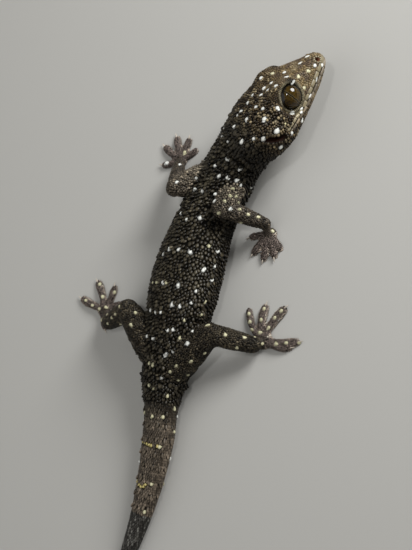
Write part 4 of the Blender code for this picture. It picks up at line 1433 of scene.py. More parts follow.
def on_lips(local, margin):
    """True for places in the head's axes that the lips' plates cover, or that lie near them."""
    height = mouth_height(local)
    front = smooth_step(MOUTH_CORNER_Y, HEAD_LENGTH, local[:, 1])
    upper, lower = (lip_height(row[1], front) + margin for row in LIP_ROWS)
    return (local[:, 1] > MOUTH_CORNER_Y) & (height < upper) & (height > -lower)


def closed_to_scales(places):
    """True where an opening, a lip or a lid takes the place of the scales."""
    return near_openings(places.points, *SCALE_MARGINS) | on_lips(places.local, LIP_GAP)


def clear_of(tree, gaps, taken, share):
    """True for a tree's places that keep a share of their gap off the spots and tubercles."""
    clear = np.ones(len(gaps), bool)
    for place, reach in taken:
        for _, index, distance in tree.find_range(place, reach + TAKEN_REACH):
            clear[index] &= distance >= reach + share * gaps[index]
    return clear


def spread(points, gaps, taken, draw):
    """Indexes of places that keep their least gap from each other and from those taken."""
    tree = tree_of(points)
    alive = clear_of(tree, gaps, taken, SPREAD_CLEARANCE)
    kept = []
    listed = points.tolist()
    for index in draw.permutation(len(points)).tolist():
        if alive[index]:
            kept.append(index)
            alive[[other for _, other, _ in tree.find_range(listed[index], gaps[index])]] = False
    return np.array(kept)


def neighbours(points, count):
    """Indexes and distances of each point's nearest neighbours."""
    tree = tree_of(points)
    index = np.zeros((len(points), count), int)
    distance = np.zeros((len(points), count))
    for at, point in enumerate(points.tolist()):
        found = tree.find_n(point, count + 1)[1:]
        index[at] = [item[1] for item in found]
        distance[at] = [item[2] for item in found]
    return index, distance


def evened(points, gaps, skin_tree, steps):
    """Pushes places apart along the skin until they are evenly spread."""
    for _ in range(steps):
        index, distance = neighbours(points, PUSH_NEIGHBOURS)
        away = points[:, None, :] - points[index]
        want = PUSH_ROOM * 0.5 * (gaps[:, None] + gaps[index])
        force = np.clip(want - distance, 0.0, None) / np.maximum(distance, SMALL)
        points = points + PUSH * np.sum(away * force[..., None], axis=1)
        points = on_skin(skin_tree, points)[0]
    return points, on_skin(skin_tree, points)[1]


def dome(sides, rings, square=0.0, point=0.0):
    """A unit scale: rings of (radius, height) from the sunk root up, then a top point. A square
    one has corners, and a pointed one runs out toward its rear.
    Gives points, triangles and how many of the last triangles close the root."""
    points = []
    for radius, height in rings:
        for turn in turns_of(sides):
            corner = 1 / max(abs(math.cos(turn)), abs(math.sin(turn))) - 1
            reach = radius * (1 + square * corner + point * max(math.cos(turn), 0.0) ** 3)
            points.append((reach * math.cos(turn), reach * math.sin(turn), height))
    points.append((0.0, 0.0, 1.0))
    end, top = (len(rings) - 1) * sides, len(rings) * sides
    faces = halved(ring_faces(len(rings), sides))
    faces += [(end + at, end + (at + 1) % sides, top) for at in range(sides)]
    faces += [(0, at + 1, at) for at in range(1, sides - 1)]
    return np.array(points), np.array(faces), sides - 2


GRANULE = dome(8, ((1.0, -0.5), (0.94, 0.35), (0.6, 0.82)))
LEAF = dome(8, ((1.0, -0.5), (0.9, 0.4), (0.5, 0.86)), point=0.4)
BOSS = dome(10, ((1.0, -0.5), (0.96, 0.2), (0.72, 0.62), (0.34, 0.9)))
SPINE_BOSS = dome(10, ((1.0, -0.5), (0.92, 0.3), (0.62, 0.72), (0.26, 0.94)), point=0.35)
PLATE = dome(16, ((1.0, -0.9), (0.97, 0.2), (0.86, 0.74), (0.45, 0.97)), 0.75)


def scatter(name, finish, template, points, normals, lie, sizes, colours, spin=0.0, hug=None,
            root_shade=ROOT_SHADE):
    """One mesh of many scales. Sizes are the reach along the lie, across it, height and lean, each
    one number or a number for each scale. Scales that hug a surface bend to follow it."""
    unit_points, faces, bottom = template
    count = len(points)
    along = unit(lie - normals * np.sum(lie * normals, axis=1, keepdims=True))
    across = np.cross(normals, along)
    along_size, across_size, height, lean, spin = (np.broadcast_to(value, count)[:, None]
                                                   for value in (*sizes, spin))
    x, y, z = (unit_points[None, :, axis] for axis in range(3))
    x, y = x * np.cos(spin) - y * np.sin(spin), x * np.sin(spin) + y * np.cos(spin)
    forward = x * along_size + lean * np.maximum(z, 0.0) * along_size
    up = np.where(z > 0, z * height * (1.0 + REAR_LIFT * lean * x), z * height)
    base = (points[:, None, :] + along[:, None, :] * forward[..., None]
            + across[:, None, :] * (y * across_size)[..., None])
    if hug is not None:
        base = on_skin(hug, base.reshape(-1, 3))[0].reshape(base.shape)
    made = base + normals[:, None, :] * up[..., None]
    made[..., 2] = np.maximum(made[..., 2], SCALE_LOWEST)
    # Painted shade: each scale darkens from its top down to its root
    shade = lifted(root_shade, np.clip(unit_points[:, 2] * SHADE_RISE, 0.0, 1.0) ** SHADE_POWER)
    tint = np.broadcast_to(colours, (count, 3))[:, None, :] * shade[None, :, None]
    every = faces[None, :, :] + (np.arange(count) * len(unit_points))[:, None, None]
    home = Places(points).unwrap()
    flat = home[:, None, :] + FLAT_SCALE * unit_points[None, :, :2]
    corner_flat = flat[np.arange(count)[:, None, None], faces[None, :, :]]
    corner_flat[:, -bottom:, :, :] = (home + FLAT_SCALE)[:, None, None, :]
    return make_piece(name, finish, made.reshape(-1, 3), every.reshape(-1, 3), tint.reshape(-1, 3),
                      corner_flat.reshape(-1, 2))


def make_piece(name, finish, points, triangles, colours, flat=None):
    """A dressed mesh object from arrays, with its colours on its points."""
    mesh = bpy.data.meshes.new(name)
    mesh.vertices.add(len(points))
    mesh.vertices.foreach_set("co", (points * MM).astype(np.float32).ravel())
    mesh.loops.add(len(triangles) * 3)
    mesh.loops.foreach_set("vertex_index", triangles.astype(np.int32).ravel())
    mesh.polygons.add(len(triangles))
    mesh.polygons.foreach_set("loop_start", np.arange(0, len(triangles) * 3, 3, dtype=np.int32))
    mesh.update(calc_edges=True)
    mesh.validate()
    if flat is not None:
        layer = mesh.uv_layers.new(name="OFBake")
        layer.data.foreach_set("uv", flat.astype(np.float32).ravel())
    return dressed(name, mesh, finish, colours)


def dressed(name, mesh, finish, colours):
    """A mesh's object with its colours, material and slot, riding the part's one body."""
    layer = mesh.color_attributes.new(name="tint", type="FLOAT_COLOR", domain="POINT")
    full = np.ones((len(mesh.vertices), 4), np.float32)
    full[:, :3] = colours
    layer.data.foreach_set("color", full.ravel())
    mesh.shade_smooth()
    mesh.materials.clear()
    mesh.materials.append(MATERIALS[finish])
    piece = new_object(name, mesh)
    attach(piece, "root")
    return piece


def cloud(points, scale, seed):
    """Smooth noise from 0 to 1 at places on the animal."""
    shift = seed * CLOUD_SHIFT
    return 0.5 + 0.5 * np.array([noise.noise(Vector((x * scale + shift, y * scale, z * scale)))
                                 for x, y, z in points.tolist()])


def mark(points, name):
    """How strongly one of the colour marks shows at places on the animal, from 0 to 1."""
    scale, seed, low, high = MARKS[name]
    return smooth_step(low, high, cloud(points, scale, seed))


def shown(part, *marks):
    """How much of a part's pale colour its marks let show, from 0 to 1."""
    return np.clip(sum(weight * value for weight, value in zip(MARK_WEIGHTS[part], marks)), 0, 1)


def head_colour(places, mottle):
    """Olive with umber and pale flecks, darker toward the nape."""
    points = places.points
    front = smooth_step(*HEAD_FRONT, places.local[:, 1])
    olive = mix("head_dark", "head", shown("head", front, mottle, -1.0))
    olive = mix(olive, "head_umber", mark(points, "umber") * front * UMBER_SHARE)
    return mix(olive, "head_pale", mark(points, "head") * HEAD_PALE_SHARE)


def tail_colour(places, patches, mottle, streaks, fine):
    """Brown with pale streaks, darker at the rear of each whorl."""
    whorl = ((places.arc - arc_at_y(TAIL_BREAK_Y)) / TAIL_WHORL_GAP) % 1.0
    shade = WHORL_LIGHT - WHORL_DARKENING * smooth_step(*WHORL_REAR, whorl)
    pale = shown("tail", patches, mottle, streaks) * lifted(TAIL_LEAST_PALE, fine)
    return mix("tail", "tail_pale", pale) * shade[:, None]


def limb_colour(places, patches, mottle, fine):
    """Arms and legs with pale bands and painted light on their top side, darker forearms, and pink
    toes.
    """
    points, run, arm = places.points, places.outward_way, places.on_arm
    dark = np.where(arm[:, None], COLOURS["arm"], COLOURS["leg"])
    pale = np.where(arm[:, None], COLOURS["arm_pale"], COLOURS["leg_pale"])
    along = np.sum(points * run, axis=1, keepdims=True) * run
    bands = mark(along * BAND_STRETCH[0] + (points - along) * BAND_STRETCH[1], "bands")
    limb = mix(dark, pale, shown("limb", patches, mottle, bands) * fine * LIMB_PALE_GAIN)
    # Painted light: the limb's upward-facing side is paler, broken by the grain
    top_light = smooth_step(*TOP_LIGHT_SPAN, unit(places.axis_offset)[:, 2])
    top_light = top_light * np.where(arm, ARM_TOP_LIGHT, LEG_TOP_LIGHT) * smooth_step(*TOP_LIGHT_GRAIN, fine)
    limb = mix(limb, pale, top_light)
    lower = np.where(places.segment == 0, FOREARM_SHARE * smooth_step(*ELBOW_SPAN, places.part),
                     lifted(FOREARM_SHARE, smooth_step(*FOREARM_SPAN, places.part)))
    limb = mix(limb, mix("forearm", "arm", mottle * fine), lower * arm)
    toe = mix("toe", "leg", fine * TOE_GRAIN + INSTEP_DARKENING * (places.segment == INSTEP))
    edge = smooth_step(*TOE_EDGE_SPAN, toe_side(places)) * (places.segment > INSTEP)
    toe = mix(toe, "toe_edge", edge * TOE_EDGE_SHARE)
    return mix(limb, toe, smooth_step(*TOE_BLEND, places.segment))


def toe_side(places):
    """How far to either side of a toe's middle a place is, from 0 to about 1."""
    across = np.cross(places.outward_way, UP)
    return np.abs(np.sum(places.axis_offset * across, axis=1)) / TOE_HALF_WIDTH


def paint(places):
    """The colour of scales at places on the animal, before spots."""
    points = places.points
    patches, mottle = mark(points, "patches"), mark(points, "mottle")
    streaks = mark(points * np.array(STREAK_STRETCH), "streaks")
    fine = cloud(points, *FINE_GRAIN)
    # Painted shade on the flanks: fewer pale flecks toward the side than on the lit top of the back
    upper = lifted(SHADED_FLANK_PALE, smooth_step(*FLANK_SHADE_LEVELS, places.level))
    back = mix("back", "back_pale", shown("back", patches, mottle) * fine * upper)
    below = 1 - smooth_step(*BELLY_LEVELS, places.level)
    belly = mix("belly", "belly_dark", mark(points, "belly"))
    colour = mix(back, belly, below)
    on_head = smooth_step(*(head_arc(y) for y in HEAD_BLEND), places.arc)
    colour = mix(colour, mix(head_colour(places, mottle), belly, below), on_head)
    on_tail = 1 - smooth_step(*(arc_at_y(y) for y in TAIL_BLEND), places.arc)
    tail = tail_colour(places, patches, mottle, streaks, fine)
    colour = mix(colour, mix(tail, belly, below * TAIL_BELLY_SHARE), on_tail)
    regrown = mix("regrown", "regrown_pale", streaks)
    colour = mix(colour, regrown, places.arc < arc_at_y(TAIL_BREAK_Y))
    colour = mix(colour, limb_colour(places, patches, mottle, fine), places.on_limb)
    # Painted shade in the fold at the front of each eye
    for side in SIDES:
        colour = mix(colour, "painted_shade", CANTHUS_SHADE_SHARE * canthus(points, side))
    return colour


def add_spots(colours, points, spots):
    """Colours with each spot laid over the places that it covers."""
    tree = tree_of(points)
    result = colours.copy()
    for place, _, kind, share in spots:
        size, _, tint = SPOT_KINDS[kind]
        for _, index, _ in tree.find_range(place, size * share * SPOT_COVER):
            result[index] = COLOURS[tint]
    return result


def hidden_spots(mesh, seen, draw):
    """Spots for the sides that the picture doesn't show, as far apart as those it shows."""
    points, normals = skin_samples(mesh, HIDDEN_SAMPLES, draw)
    places = Places(points)
    facing = np.sum(unit(np.array(CAMERA_PLACE) - points) * normals, axis=1)
    wanted = (facing < LEAST_FACING) | (places.limb == LEFT_ARM) & places.on_limb
    wanted &= (places.level > BELLY_LEVEL) & ~closed_to_scales(places)
    wanted &= (points[:, 2] > HIDDEN_LOWEST) & (places.arc > arc_at_y(HIDDEN_END_Y))
    points, normals = points[wanted], normals[wanted]
    taken = [(place, HIDDEN_SPOT_GAP * HIDDEN_CLEARANCE) for place, _, _, _ in seen]
    kept = spread(points, np.full(len(points), HIDDEN_SPOT_GAP), taken, draw)
    kinds = draw.choice(list(HIDDEN_KINDS), len(kept), p=list(HIDDEN_KINDS.values()))
    return [(points[at], normals[at], str(kind), 1.0) for at, kind in zip(kept, kinds)]


def tubercle_places(skin_tree, spots, draw):
    """Rows of larger, keeled scales over the back, the nape, the crown and the tail: place,
    outward way and half width."""
    rows = []
    for row, arc in enumerate(np.arange(arc_at_y(TAIL_ROOT_Y), head_arc(CROWN_Y), TUBERCLE_ROW)):
        width, rise = stations([arc])[0, 6:8]
        step = math.degrees(TUBERCLE_GAP / (0.5 * (width + rise)))
        size = HEAD_TUBERCLE if arc > head_arc(0.0) else BACK_TUBERCLE
        start, stop = TUBERCLE_ANGLES
        rows += [(arc, angle, size) for angle in np.arange(start + 0.5 * step * (row % 2), stop, step)]
    for whorl in range(TAIL_WHORLS):
        arc = arc_at_y(TAIL_BREAK_Y) + FIRST_WHORL + whorl * TAIL_WHORL_GAP
        rows += [(arc, angle, TAIL_TUBERCLE) for angle in TAIL_TUBERCLE_ANGLES]
    arcs, angles, sizes = np.array(rows).T
    arcs = arcs + draw.uniform(-ARC_JITTER, ARC_JITTER, len(rows))
    angles = angles + draw.uniform(-ANGLE_JITTER, ANGLE_JITTER, len(rows))
    points = surface(arcs, angles, -BODY_COAT)
    spot_tree = tree_of(np.array([spot[0] for spot in spots]))
    sizes = sizes * draw.uniform(*TUBERCLE_DRAW, len(sizes))
    made = []
    for place, normal, distance, size in zip(*on_skin(skin_tree, points), sizes):
        clear_of_spots = spot_tree.find(place)[2] > TUBERCLE_CLEARANCE
        high = place[2] > TUBERCLE_LOWEST
        if distance < SKIN_NEAR and clear_of_spots and high and not in_opening(place):
            made.append((place, normal, size))
    return made


def tail_rows(skin_tree, draw):
    """Rows of scales round the tail, each row set half a scale round from the last."""
    arcs, angles = [], []
    for row, arc in enumerate(np.arange(TAIL_FIRST_ROW, arc_at_y(TAIL_SCALES_Y), TAIL_ROW_GAP)):
        width, rise, drop = stations([arc])[0, 6:9]
        count = max(TAIL_FEWEST, int(math.pi * (width + (rise + drop) / 2) / TAIL_SCALE_GAP))
        arcs += list(arc + draw.uniform(-ROW_JITTER, ROW_JITTER, count))
        turned = np.arange(count) + 0.5 * (row % 2) + draw.uniform(-TURN_JITTER, TURN_JITTER, count)
        angles += list(turned * 360.0 / count)
    points = surface(np.array(arcs), np.array(angles), -BODY_COAT)
    points, normals, distance = on_skin(skin_tree, points)
    near = distance < TAIL_SKIN_NEAR
    return points[near], normals[near]


def coat_places(mesh, skin_tree, taken, draw):
    """Where the scales sit: spread over the body, head and limbs, and in rows round the tail."""
    points, _ = skin_samples(mesh, SAMPLES, draw)
    places = Places(points)
    kinds = scale_kinds(places)
    open_skin = ~closed_to_scales(places) & (kinds != "tail")
    points, gaps = points[open_skin], kind_values(kinds[open_skin])[0]
    uneven = 1 + GAP_SPREAD * (2 * cloud(points, *GAP_GRAIN) - 1)
    gaps = gaps * np.clip(uneven * draw.uniform(*GAP_DRAW, len(gaps)), *GAP_LIMITS)
    kept = spread(points, gaps, taken, draw)
    steps = PUSH_STEPS
    points, normals = evened(points[kept], gaps[kept], skin_tree, steps)
    rows, ways = tail_rows(skin_tree, draw)
    clear = clear_of(tree_of(rows), np.full(len(rows), TAIL_ROW_GAP), taken, TAIL_CLEARANCE)
    return np.concatenate((points, rows[clear])), np.concatenate((normals, ways[clear]))


def coat_colours(places, kinds, draw):
    """The scales' colours, each one brighter or darker than the animal's markings there."""
    fore = smooth_step(*CONTRAST_FRONT, places.local[:, 1])
    contrast = np.where(kinds == "tail", TAIL_CONTRAST, CONTRAST)
    contrast = np.where(np.isin(kinds, HEAD_KINDS), HEAD_CONTRAST - FRONT_CONTRAST * fore, contrast)
    contrast[kinds == "toe"] = TOE_CONTRAST
    bright = np.exp(draw.normal(0.0, 1.0, len(kinds)) * contrast)
    return np.minimum(paint(places) * bright[:, None], BRIGHTEST)


def coat_regions(places, kinds):
    """Which scales belong to each piece of the coat."""
    regions = {"scales_" + kind: kinds == kind for kind in WHOLE_KINDS}
    regions["scales_head"] = np.isin(kinds, HEAD_KINDS)
    regions["scales_feet"] = kinds == "toe"
    for number, limb in enumerate(LIMBS):
        regions["scales_" + limb] = (kinds == "limb") & (places.limb == number)
    return regions


def build_coat(mesh, skin_tree, spot_tree):
    """Spots, tubercles and scales over the whole skin."""
    draw = np.random.default_rng(SEED)
    spots = seen_spots(spot_tree)
    spots += hidden_spots(mesh, spots, draw)
    tubercles = tubercle_places(skin_tree, spots, draw)
    spots = lobed(spots, skin_tree, draw)
    taken = [(place, SPOT_KINDS[kind][0] * share) for place, _, kind, share in spots]
    taken += [(place, size * TUBERCLE_COVER) for place, _, size in tubercles]
    points, normals = coat_places(mesh, skin_tree, taken, draw)
    places = Places(points)
    kinds = scale_kinds(places)
    gap, tall, lean, cover = kind_values(kinds)
    room = 0.5 * neighbours(points, ROOM_NEIGHBOURS)[1].mean(axis=1)
    reach = cover * np.clip(room, LEAST_ROOM * gap, MOST_ROOM * gap)
    length = reach * np.where(kinds == "tail", TAIL_KEEL, 1.0)
    colours = add_spots(coat_colours(places, kinds, draw), points, spots)
    height = HEIGHT_GAIN * reach * tall * draw.uniform(*HEIGHT_DRAW, len(points))
    lie = places.lie()
    for name, chosen in coat_regions(places, kinds).items():
        count = int(chosen.sum())
        if name in LEAF_PIECES:
            template, spin = LEAF, draw.normal(0.0, LEAF_SPIN, count)
        else:
            template, spin = GRANULE, draw.uniform(0, math.pi, count)
        sizes = [values[chosen] for values in (length, reach, height, lean)]
        scatter(name, "scales", template, points[chosen], normals[chosen], lie[chosen], sizes,
                colours[chosen], spin)
    build_spots(spots)
    build_tubercles(tubercles, draw)
    return spots


def build_spots(spots):
    """The pale spots' own scales, lower on the head and the limbs."""
    points, normals, _, shares = (np.array(column) for column in zip(*spots))
    places = Places(points)
    halves, lengths, tints = zip(*(SPOT_KINDS[kind] for _, _, kind, _ in spots))
    widths = np.array(halves) * shares
    low = places.on_limb | (places.local[:, 1] > LOW_SPOTS_Y)
    sizes = (widths * np.array(lengths), widths, widths * np.where(low, LOW_SPOT, HIGH_SPOT), SPOT_LEAN)
    scatter("spots", "spots", BOSS, points, normals, places.lie(), sizes,
            np.array([COLOURS[tint] for tint in tints]), root_shade=SPOT_ROOT_SHADE)


def build_tubercles(tubercles, draw):
    """The dark keeled scales between the spots, sharper and darker on the tail."""
    points, normals, widths = (np.array(column) for column in zip(*tubercles))
    places = Places(points)
    spiny = places.arc < arc_at_y(SPINY_Y)
    length, height, lean, tone = np.where(spiny, *(np.array(shape)[:, None] for shape in TUBERCLES))
    colours = mix(paint(places), "tubercle", draw.uniform(0.0, TUBERCLE_PALE, len(points)) * tone)
    scatter("tubercles", "scales", SPINE_BOSS, points, normals, places.lie(),
            (widths * length, widths, widths * height, lean), colours)


def lip_curve():
    """The mouth line from its right corner round the snout to the left one, and the length along
    it at each point."""
    y = np.linspace(MOUTH_CORNER_Y, HEAD_Y[-1], LIP_STEPS)
    right = np.stack((np.interp(y, HEAD_Y, HEAD_WIDTH), y, np.interp(y, HEAD_Y, MOUTH_LINE)), -1)
    tip = np.array(((0.0, HEAD_LENGTH, MOUTH_LINE[-1]),))
    curve = from_head(np.concatenate((right, tip, right[::-1] * (-1, 1, 1))))
    return curve, run_lengths(curve)


def lip_plates(whole):
    """Plates along both lips of a mouth of this whole length: length along the mouth, height, half
    length, half height and colour."""
    half = whole / 2
    plates = []
    for way, tall, count, tip, tint in LIP_ROWS:
        sizes = np.linspace(CORNER_PLATE, 1.0, count)
        sizes *= (half - tip) / sizes.sum()
        for middle, size in zip(np.cumsum(sizes) - sizes / 2, sizes):
            high = lip_height(tall, middle / half)
            for at in (middle, whole - middle):
                plates.append((at, way * (LIP_GAP + high / 2), size / 2, high / 2, COLOURS[tint]))
        plates.append((half, way * (LIP_GAP + tall / 2), tip, tall / 2, COLOURS[tint]))
    return plates


def build_lips(skin_tree, draw):
    """The labial plates above and below the mouth."""
    curve, length = lip_curve()
    at, raised, long, high, tints = (np.array(column) for column in zip(*lip_plates(length[-1])))

    def along_lip(where):
        return np.stack([np.interp(where, length, curve[:, axis]) for axis in range(3)], -1)

    points, normals, _ = on_skin(skin_tree, along_lip(at) + np.outer(raised, HEAD_UP))
    lie = along_lip(at + LIP_STEP) - along_lip(at - LIP_STEP)
    tints = tints * draw.lognormal(0.0, LIP_CONTRAST, (len(at), 1))
    scatter("lips", "spots", PLATE, points, normals, lie,
            (long * LIP_COVER[0], high * LIP_COVER[1], LIP_THICKNESS, 0.0), tints, hug=skin_tree,
            root_shade=LIP_ROOT_SHADE)


def build_nostril_rims(skin_tree):
    """A ring of pale scales round each nostril."""
    points, normals, lie = [], [], []
    for side in SIDES:
        centre = from_head(NOSTRIL_CENTRE, side)
        way = head_direction(NOSTRIL_AXIS, side)
        for away in circle(turns_of(NOSTRIL_SCALES), *perpendicular(way)):
            beside = centre + away * NOSTRIL_RING
            for _ in range(RIM_STEPS):
                place, normal, _, _ = skin_tree.find_nearest(beside.tolist())
                beside = centre + unit(np.array(place) - centre) * NOSTRIL_RING
            points.append(place)
            normals.append(way * (1 - RIM_HUG) + np.array(normal) * RIM_HUG)
            lie.append(away)
    scatter("nostril_rims", "spots", BOSS, np.array(points), unit(np.array(normals)), np.array(lie),
            RIM_SIZE, COLOURS["lip"], root_shade=SPOT_ROOT_SHADE)


def build_lid_scales(name, side):
    """Rows of small scales round the lids, with a row of larger ones on their edge."""
    centre, outward, lengthwise, crosswise = eye_axes(side)
    rows = []
    for number, (lean, gap, size) in enumerate(LID_ROWS):
        count = int(LID_ROUND / gap)
        turns = (np.arange(count) + 0.5 * (number % 2)) * 2 * math.pi / count
        rows += [(turn, math.radians(lean), size) for turn in turns]
    turns, leans, sizes = np.array(rows).T
    away = circle(turns, lengthwise, crosswise)
    reach = lid_reach(turns) + LID_THICKNESS
    normals = away * np.cos(leans)[:, None] + np.outer(np.sin(leans), outward)
    points = (centre + away * reach[:, None] + np.outer(lid_height(reach), outward)
              + normals * (LID_THICKNESS - LID_SCALE_SINK))
    lie = outward * np.cos(leans)[:, None] - away * np.sin(leans)[:, None]
    on_edge = leans > math.radians(LID_EDGE_LEAN)
    tints = mix(paint(Places(points)), "lid", np.where(on_edge, *LID_SHARES))
    fleck = LID_FLECKS[0] + LID_FLECKS[1] * cloud(points, *LID_GRAIN)
    turns = (turns + math.pi) % (2 * math.pi) - math.pi
    fleck = fleck * (1 - ridge(turns, LID_CANTHUS_SHADE, CANTHUS_TURN, CANTHUS_WIDTH))
    scatter(name, "scales", BOSS, points, normals, lie,
            (sizes * LID_SCALE[0], sizes, sizes * LID_SCALE[1], 0.0), tints * fleck[:, None])


def build_lamellae():
    """Thin plates across the underside of every toe pad, just wider than the pad."""
    points, lie, widths = [], [], []
    parts, wides, _ = zip(*TOE_PROFILE)
    for centre, _, toes in FEET.values():
        for heading, length, width, bend in toes:
            for part in np.arange(*LAMELLA_SPAN, LAMELLA_GAP / length):
                place, way = toe_path(centre, heading, length, bend, part)
                points.append(place)
                lie.append(way)
                widths.append(width * np.interp(part, parts, wides) + LAMELLA_OVERHANG)
    normals = np.tile(UP, (len(points), 1))
    sizes = (LAMELLA_SIZE[0], np.array(widths), LAMELLA_SIZE[1], 0.0)
    scatter("lamellae", "spots", BOSS, np.array(points), normals, np.array(lie), sizes,
            COLOURS["toe_edge"])


def eyeball(node, side):
    """A fine round eye, its iris, slit pupil and a dark rim of painted lid shadow coloured in the eye's
    own axes.
    """
    centre, outward, _, _ = eye_axes(side)
    upward = unit(HEAD_UP - outward * (HEAD_UP @ outward))
    forward = np.cross(upward, outward)
    shape = bmesh.new()
    bmesh.ops.create_uvsphere(shape, u_segments=EYE_SEGMENTS, v_segments=EYE_RINGS,
                              radius=(EYE_RADIUS - EYE_INSET) * MM)
    mesh = bpy.data.meshes.new(node)
    shape.to_mesh(mesh)
    shape.free()
    mesh.transform(Matrix((forward, upward, outward)).transposed().to_4x4())
    mesh.transform(Matrix.Translation(Vector(centre * MM)))
    points = mesh_points(mesh)
    offset = points - centre
    _, beyond, _ = eye_measures(points, side)
    colours = iris_colours(offset @ forward, offset @ upward, beyond, points)
    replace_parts(dressed(node.replace("eye", "eyeball"), mesh, "eye", colours), node)


def iris_colours(across, high, beyond, points):
    """Olive brown with a fine dark net, a slit pupil with pale edges, and the lids' shadow painted
    black under their edge.
    """
    dark = np.clip(mark(points, "iris") + IRIS_DARKENING * np.hypot(across, high), 0, 1)
    colour = mix("iris", "iris_dark", dark)
    slit = np.abs(across - PUPIL_BEND * np.sin(high * PUPIL_NOTCHES))
    colour = mix(colour, "iris_edge", ridge(slit, *PUPIL_EDGE))
    colour = mix("pupil_and_shadow", colour, smooth_step(*PUPIL_HALF_WIDTHS, slit))
    # Painted shadow that the lids' edge throws on the eye
    return mix(colour, "pupil_and_shadow", smooth_step(*LID_SHADOW, beyond))


def add_node(tree, kind, **inputs):
    """A new node with some of its inputs set; an underscore stands for a space in their names."""
    made = tree.nodes.new("ShaderNode" + kind)
    for name, value in inputs.items():
        made.inputs[name.replace("_", " ")].default_value = value
    return made


def tinted(tree, shader, grain, depth, bump_scale):
    """Colour from the mesh, broken up by fine noise, with a fine bump where it has a scale."""
    tint = add_node(tree, "Attribute")
    tint.attribute_name = "tint"
    where = add_node(tree, "TexCoord")
    fleck = add_node(tree, "TexNoise", Scale=grain, Detail=GRAIN_DETAIL)
    share = add_node(tree, "MapRange", To_Min=1.0 - depth, To_Max=1.0 + depth)
    blend = add_node(tree, "VectorMath")
    blend.operation = "SCALE"
    wires = [(where, "Object", fleck, "Vector"), (fleck, "Fac", share, "Value"),
             (tint, "Color", blend, 0), (share, "Result", blend, "Scale"),
             (blend, "Vector", shader, "Base Color")]
    if bump_scale is not None:
        rough = add_node(tree, "TexNoise", Scale=bump_scale)
        bump = add_node(tree, "Bump", Strength=BUMP_STRENGTH, Distance=BUMP_DISTANCE)
        wires += [(where, "Object", rough, "Vector"), (rough, "Fac", bump, "Height"),
                  (bump, "Normal", shader, "Normal")]
    for source, output, target, entry in wires:
        tree.links.new(source.outputs[output], target.inputs[entry])


def make_materials():
    """All the materials by name. The eye has a clear coat, and the floor one plain colour."""
    made = {}
    for name, (roughness, specular, *grain) in FINISHES.items():
        made[name] = bpy.data.materials.new(name)
        made[name].use_nodes = True
        tree = made[name].node_tree
        shader = tree.nodes["Principled BSDF"]
        shader.inputs["Roughness"].default_value = roughness
        shader.inputs["Specular IOR Level"].default_value = specular
        if name == "floor":
            shader.inputs["Base Color"].default_value = FLOOR_COLOUR
        else:
            tinted(tree, shader, *grain)
        if name == "eye":
            shader.inputs["Coat Weight"].default_value = EYE_COAT
            shader.inputs["Coat Roughness"].default_value = EYE_COAT_ROUGHNESS
    return made


def finish_skin(mesh, spots):
    """Colours the skin as the scales on it, darkened with painted shade, since it shows only between
    them.
    """
    points = mesh_points(mesh)
    places = Places(points)
    shade = GAP_SHADE + (FACE_GAP_SHADE - GAP_SHADE) * smooth_step(*FACE_SPAN, places.local[:, 1])
    colours = add_spots(paint(places) * shade[:, None], points, spots)
    # Painted shade under the lips' plates, paler than between other scales so that their seams stay
    # soft
    lip = np.array(COLOURS["lip"]) * LIP_GAP_SHADE
    colours = mix(colours, lip, on_lips(places.local, 0.0) * LIP_GAP_SHARE)
    # Painted shade inside the ears and deep in each nostril, within the nostril's reddish wall
    for side in SIDES:
        ear, hole = ear_measure(points, side), nostril_distance(points, side)
        for values, tint, span in ((ear, "ear", EAR_SHADE_SPAN), (hole, "nostril", NOSTRIL_TINT),
                                   (hole, "nostril_shade", NOSTRIL_SHADE_SPAN)):
            colours = mix(colours, tint, 1 - smooth_step(*span, values))
    # Painted shade along the mouth's line, where the lips meet
    mouth = ridge(mouth_height(places.local), *MOUTH_SHADE) * (places.local[:, 1] > MOUTH_CORNER_Y)
    flesh = [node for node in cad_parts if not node.startswith("eye")]
    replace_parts(dressed("skin", mesh, "skin", mix(colours, "painted_shade", mouth)), *flesh)


def lid_ring(name, side):
    """The rim of skin that hugs the eye round the lids' oval opening."""
    centre, outward, lengthwise, crosswise = eye_axes(side)
    turns, leans = turns_of(LID_RINGS), turns_of(LID_SIDES)
    away = circle(turns, lengthwise, crosswise)
    reach = lid_reach(turns) + LID_THICKNESS
    middle = centre + away * reach[:, None] + outward * lid_height(reach)[:, None]
    ways = (away[:, None] * np.cos(leans)[None, :, None] + outward * np.sin(leans)[None, :, None])
    points = (middle[:, None] + (LID_THICKNESS - LID_INSET) * ways).reshape(-1, 3)
    faces = np.array(halved(ring_faces(LID_RINGS, LID_SIDES, closed=True)))[:, ::side]
    # Painted shade on the ring's inner side, where it turns into the eye
    inner_shade = np.tile(smooth_step(*LID_INNER_SHADE, -np.cos(leans)), LID_RINGS)
    colours = mix(paint(Places(points)) * LID_SHADE, "pupil_and_shadow", inner_shade)
    return make_piece(name, "skin", points, faces, colours)


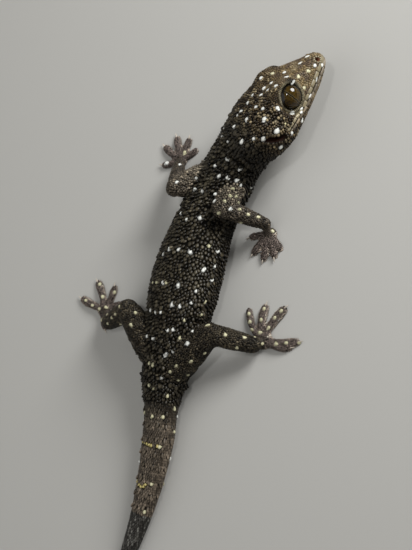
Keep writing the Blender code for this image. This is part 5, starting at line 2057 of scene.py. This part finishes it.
def build_claws():
    """A short curved horn on every toe but the first."""
    points, faces = [], []
    up = np.array(UP)
    for centre, _, toes in FEET.values():
        for heading, length, _, bend in toes[1:]:
            tip, along = toe_path(centre, heading, length, bend, 1.0)
            across = np.cross(up, along)
            root = tip - along * CLAW_ROOT + up * CLAW_HEIGHT
            first = len(points)
            for part in np.arange(CLAW_RINGS) / CLAW_RINGS:
                rise = CLAW_ARCH * math.sin(part * CLAW_BEND) - CLAW_DROP * part ** 2
                middle = root + along * CLAW_LENGTH * part + up * rise
                radius = CLAW_RADIUS * (1 - part) ** CLAW_TAPER
                for lean in turns_of(CLAW_SIDES):
                    points.append(middle + across * radius * CLAW_FLATNESS * math.cos(lean)
                                  + up * radius * math.sin(lean))
            points += [root, root + along * CLAW_TIP[0] - up * CLAW_TIP[1]]
            faces += tube_faces(CLAW_RINGS, CLAW_SIDES, first)
    dressed("claws", closed_mesh("claws", points, faces), "claw", COLOURS["claw"])


def build_stage():
    """Pale floor, soft light and the camera."""
    mesh = bpy.data.meshes.new("floor")
    corners = [(x * FLOOR_REACH, y * FLOOR_REACH, 0) for x, y in ((-1, -1), (1, -1), (1, 1), (-1, 1))]
    mesh.from_pydata(corners, [], [(0, 1, 2, 3)])
    mesh.materials.append(MATERIALS["floor"])
    new_object("floor", mesh)
    world = bpy.data.worlds.new("studio")
    world.use_nodes = True
    background = world.node_tree.nodes["Background"]
    background.inputs["Color"].default_value = WORLD_COLOUR
    background.inputs["Strength"].default_value = WORLD_STRENGTH
    scene = bpy.context.scene
    scene.world = world
    for name, place, size, power in LIGHTS:
        lamp = bpy.data.lights.new(name, "AREA")
        lamp.shape = "DISK"
        lamp.energy = power
        lamp.size = size * MM
        made = new_object(name, lamp)
        made.location = Vector(place) * MM
        made.rotation_euler = Vector(place).to_track_quat("Z", "Y").to_euler()
    lens = bpy.data.cameras.new("camera")
    lens.lens = CAMERA_LENS
    lens.sensor_width = SENSOR
    lens.clip_start = CAMERA_NEAR
    camera = new_object("camera", lens)
    camera.matrix_world = (Matrix.Translation(Vector(CAMERA_PLACE) * MM)
                           @ Matrix(camera_axes()).transposed().to_4x4())
    scene.camera = camera
    scene.view_settings.view_transform = "Standard"


MATERIALS = make_materials()
build_stage()
skin_mesh = build_skin()
skin_tree = bvh_of(skin_mesh)
for side_name, side_sign in (("right", 1), ("left", -1)):
    eyeball("eye_" + side_name, side_sign)
    lid_ring("lid_" + side_name, side_sign)
    build_lid_scales("lid_scales_" + side_name, side_sign)
all_spots = build_coat(skin_mesh, skin_tree, bvh_of(skin_mesh, bpy.data.objects["lid_right"].data))
finish_skin(skin_mesh, all_spots)
build_lips(skin_tree, np.random.default_rng(SEED))
build_nostril_rims(skin_tree)
build_lamellae()
build_claws()
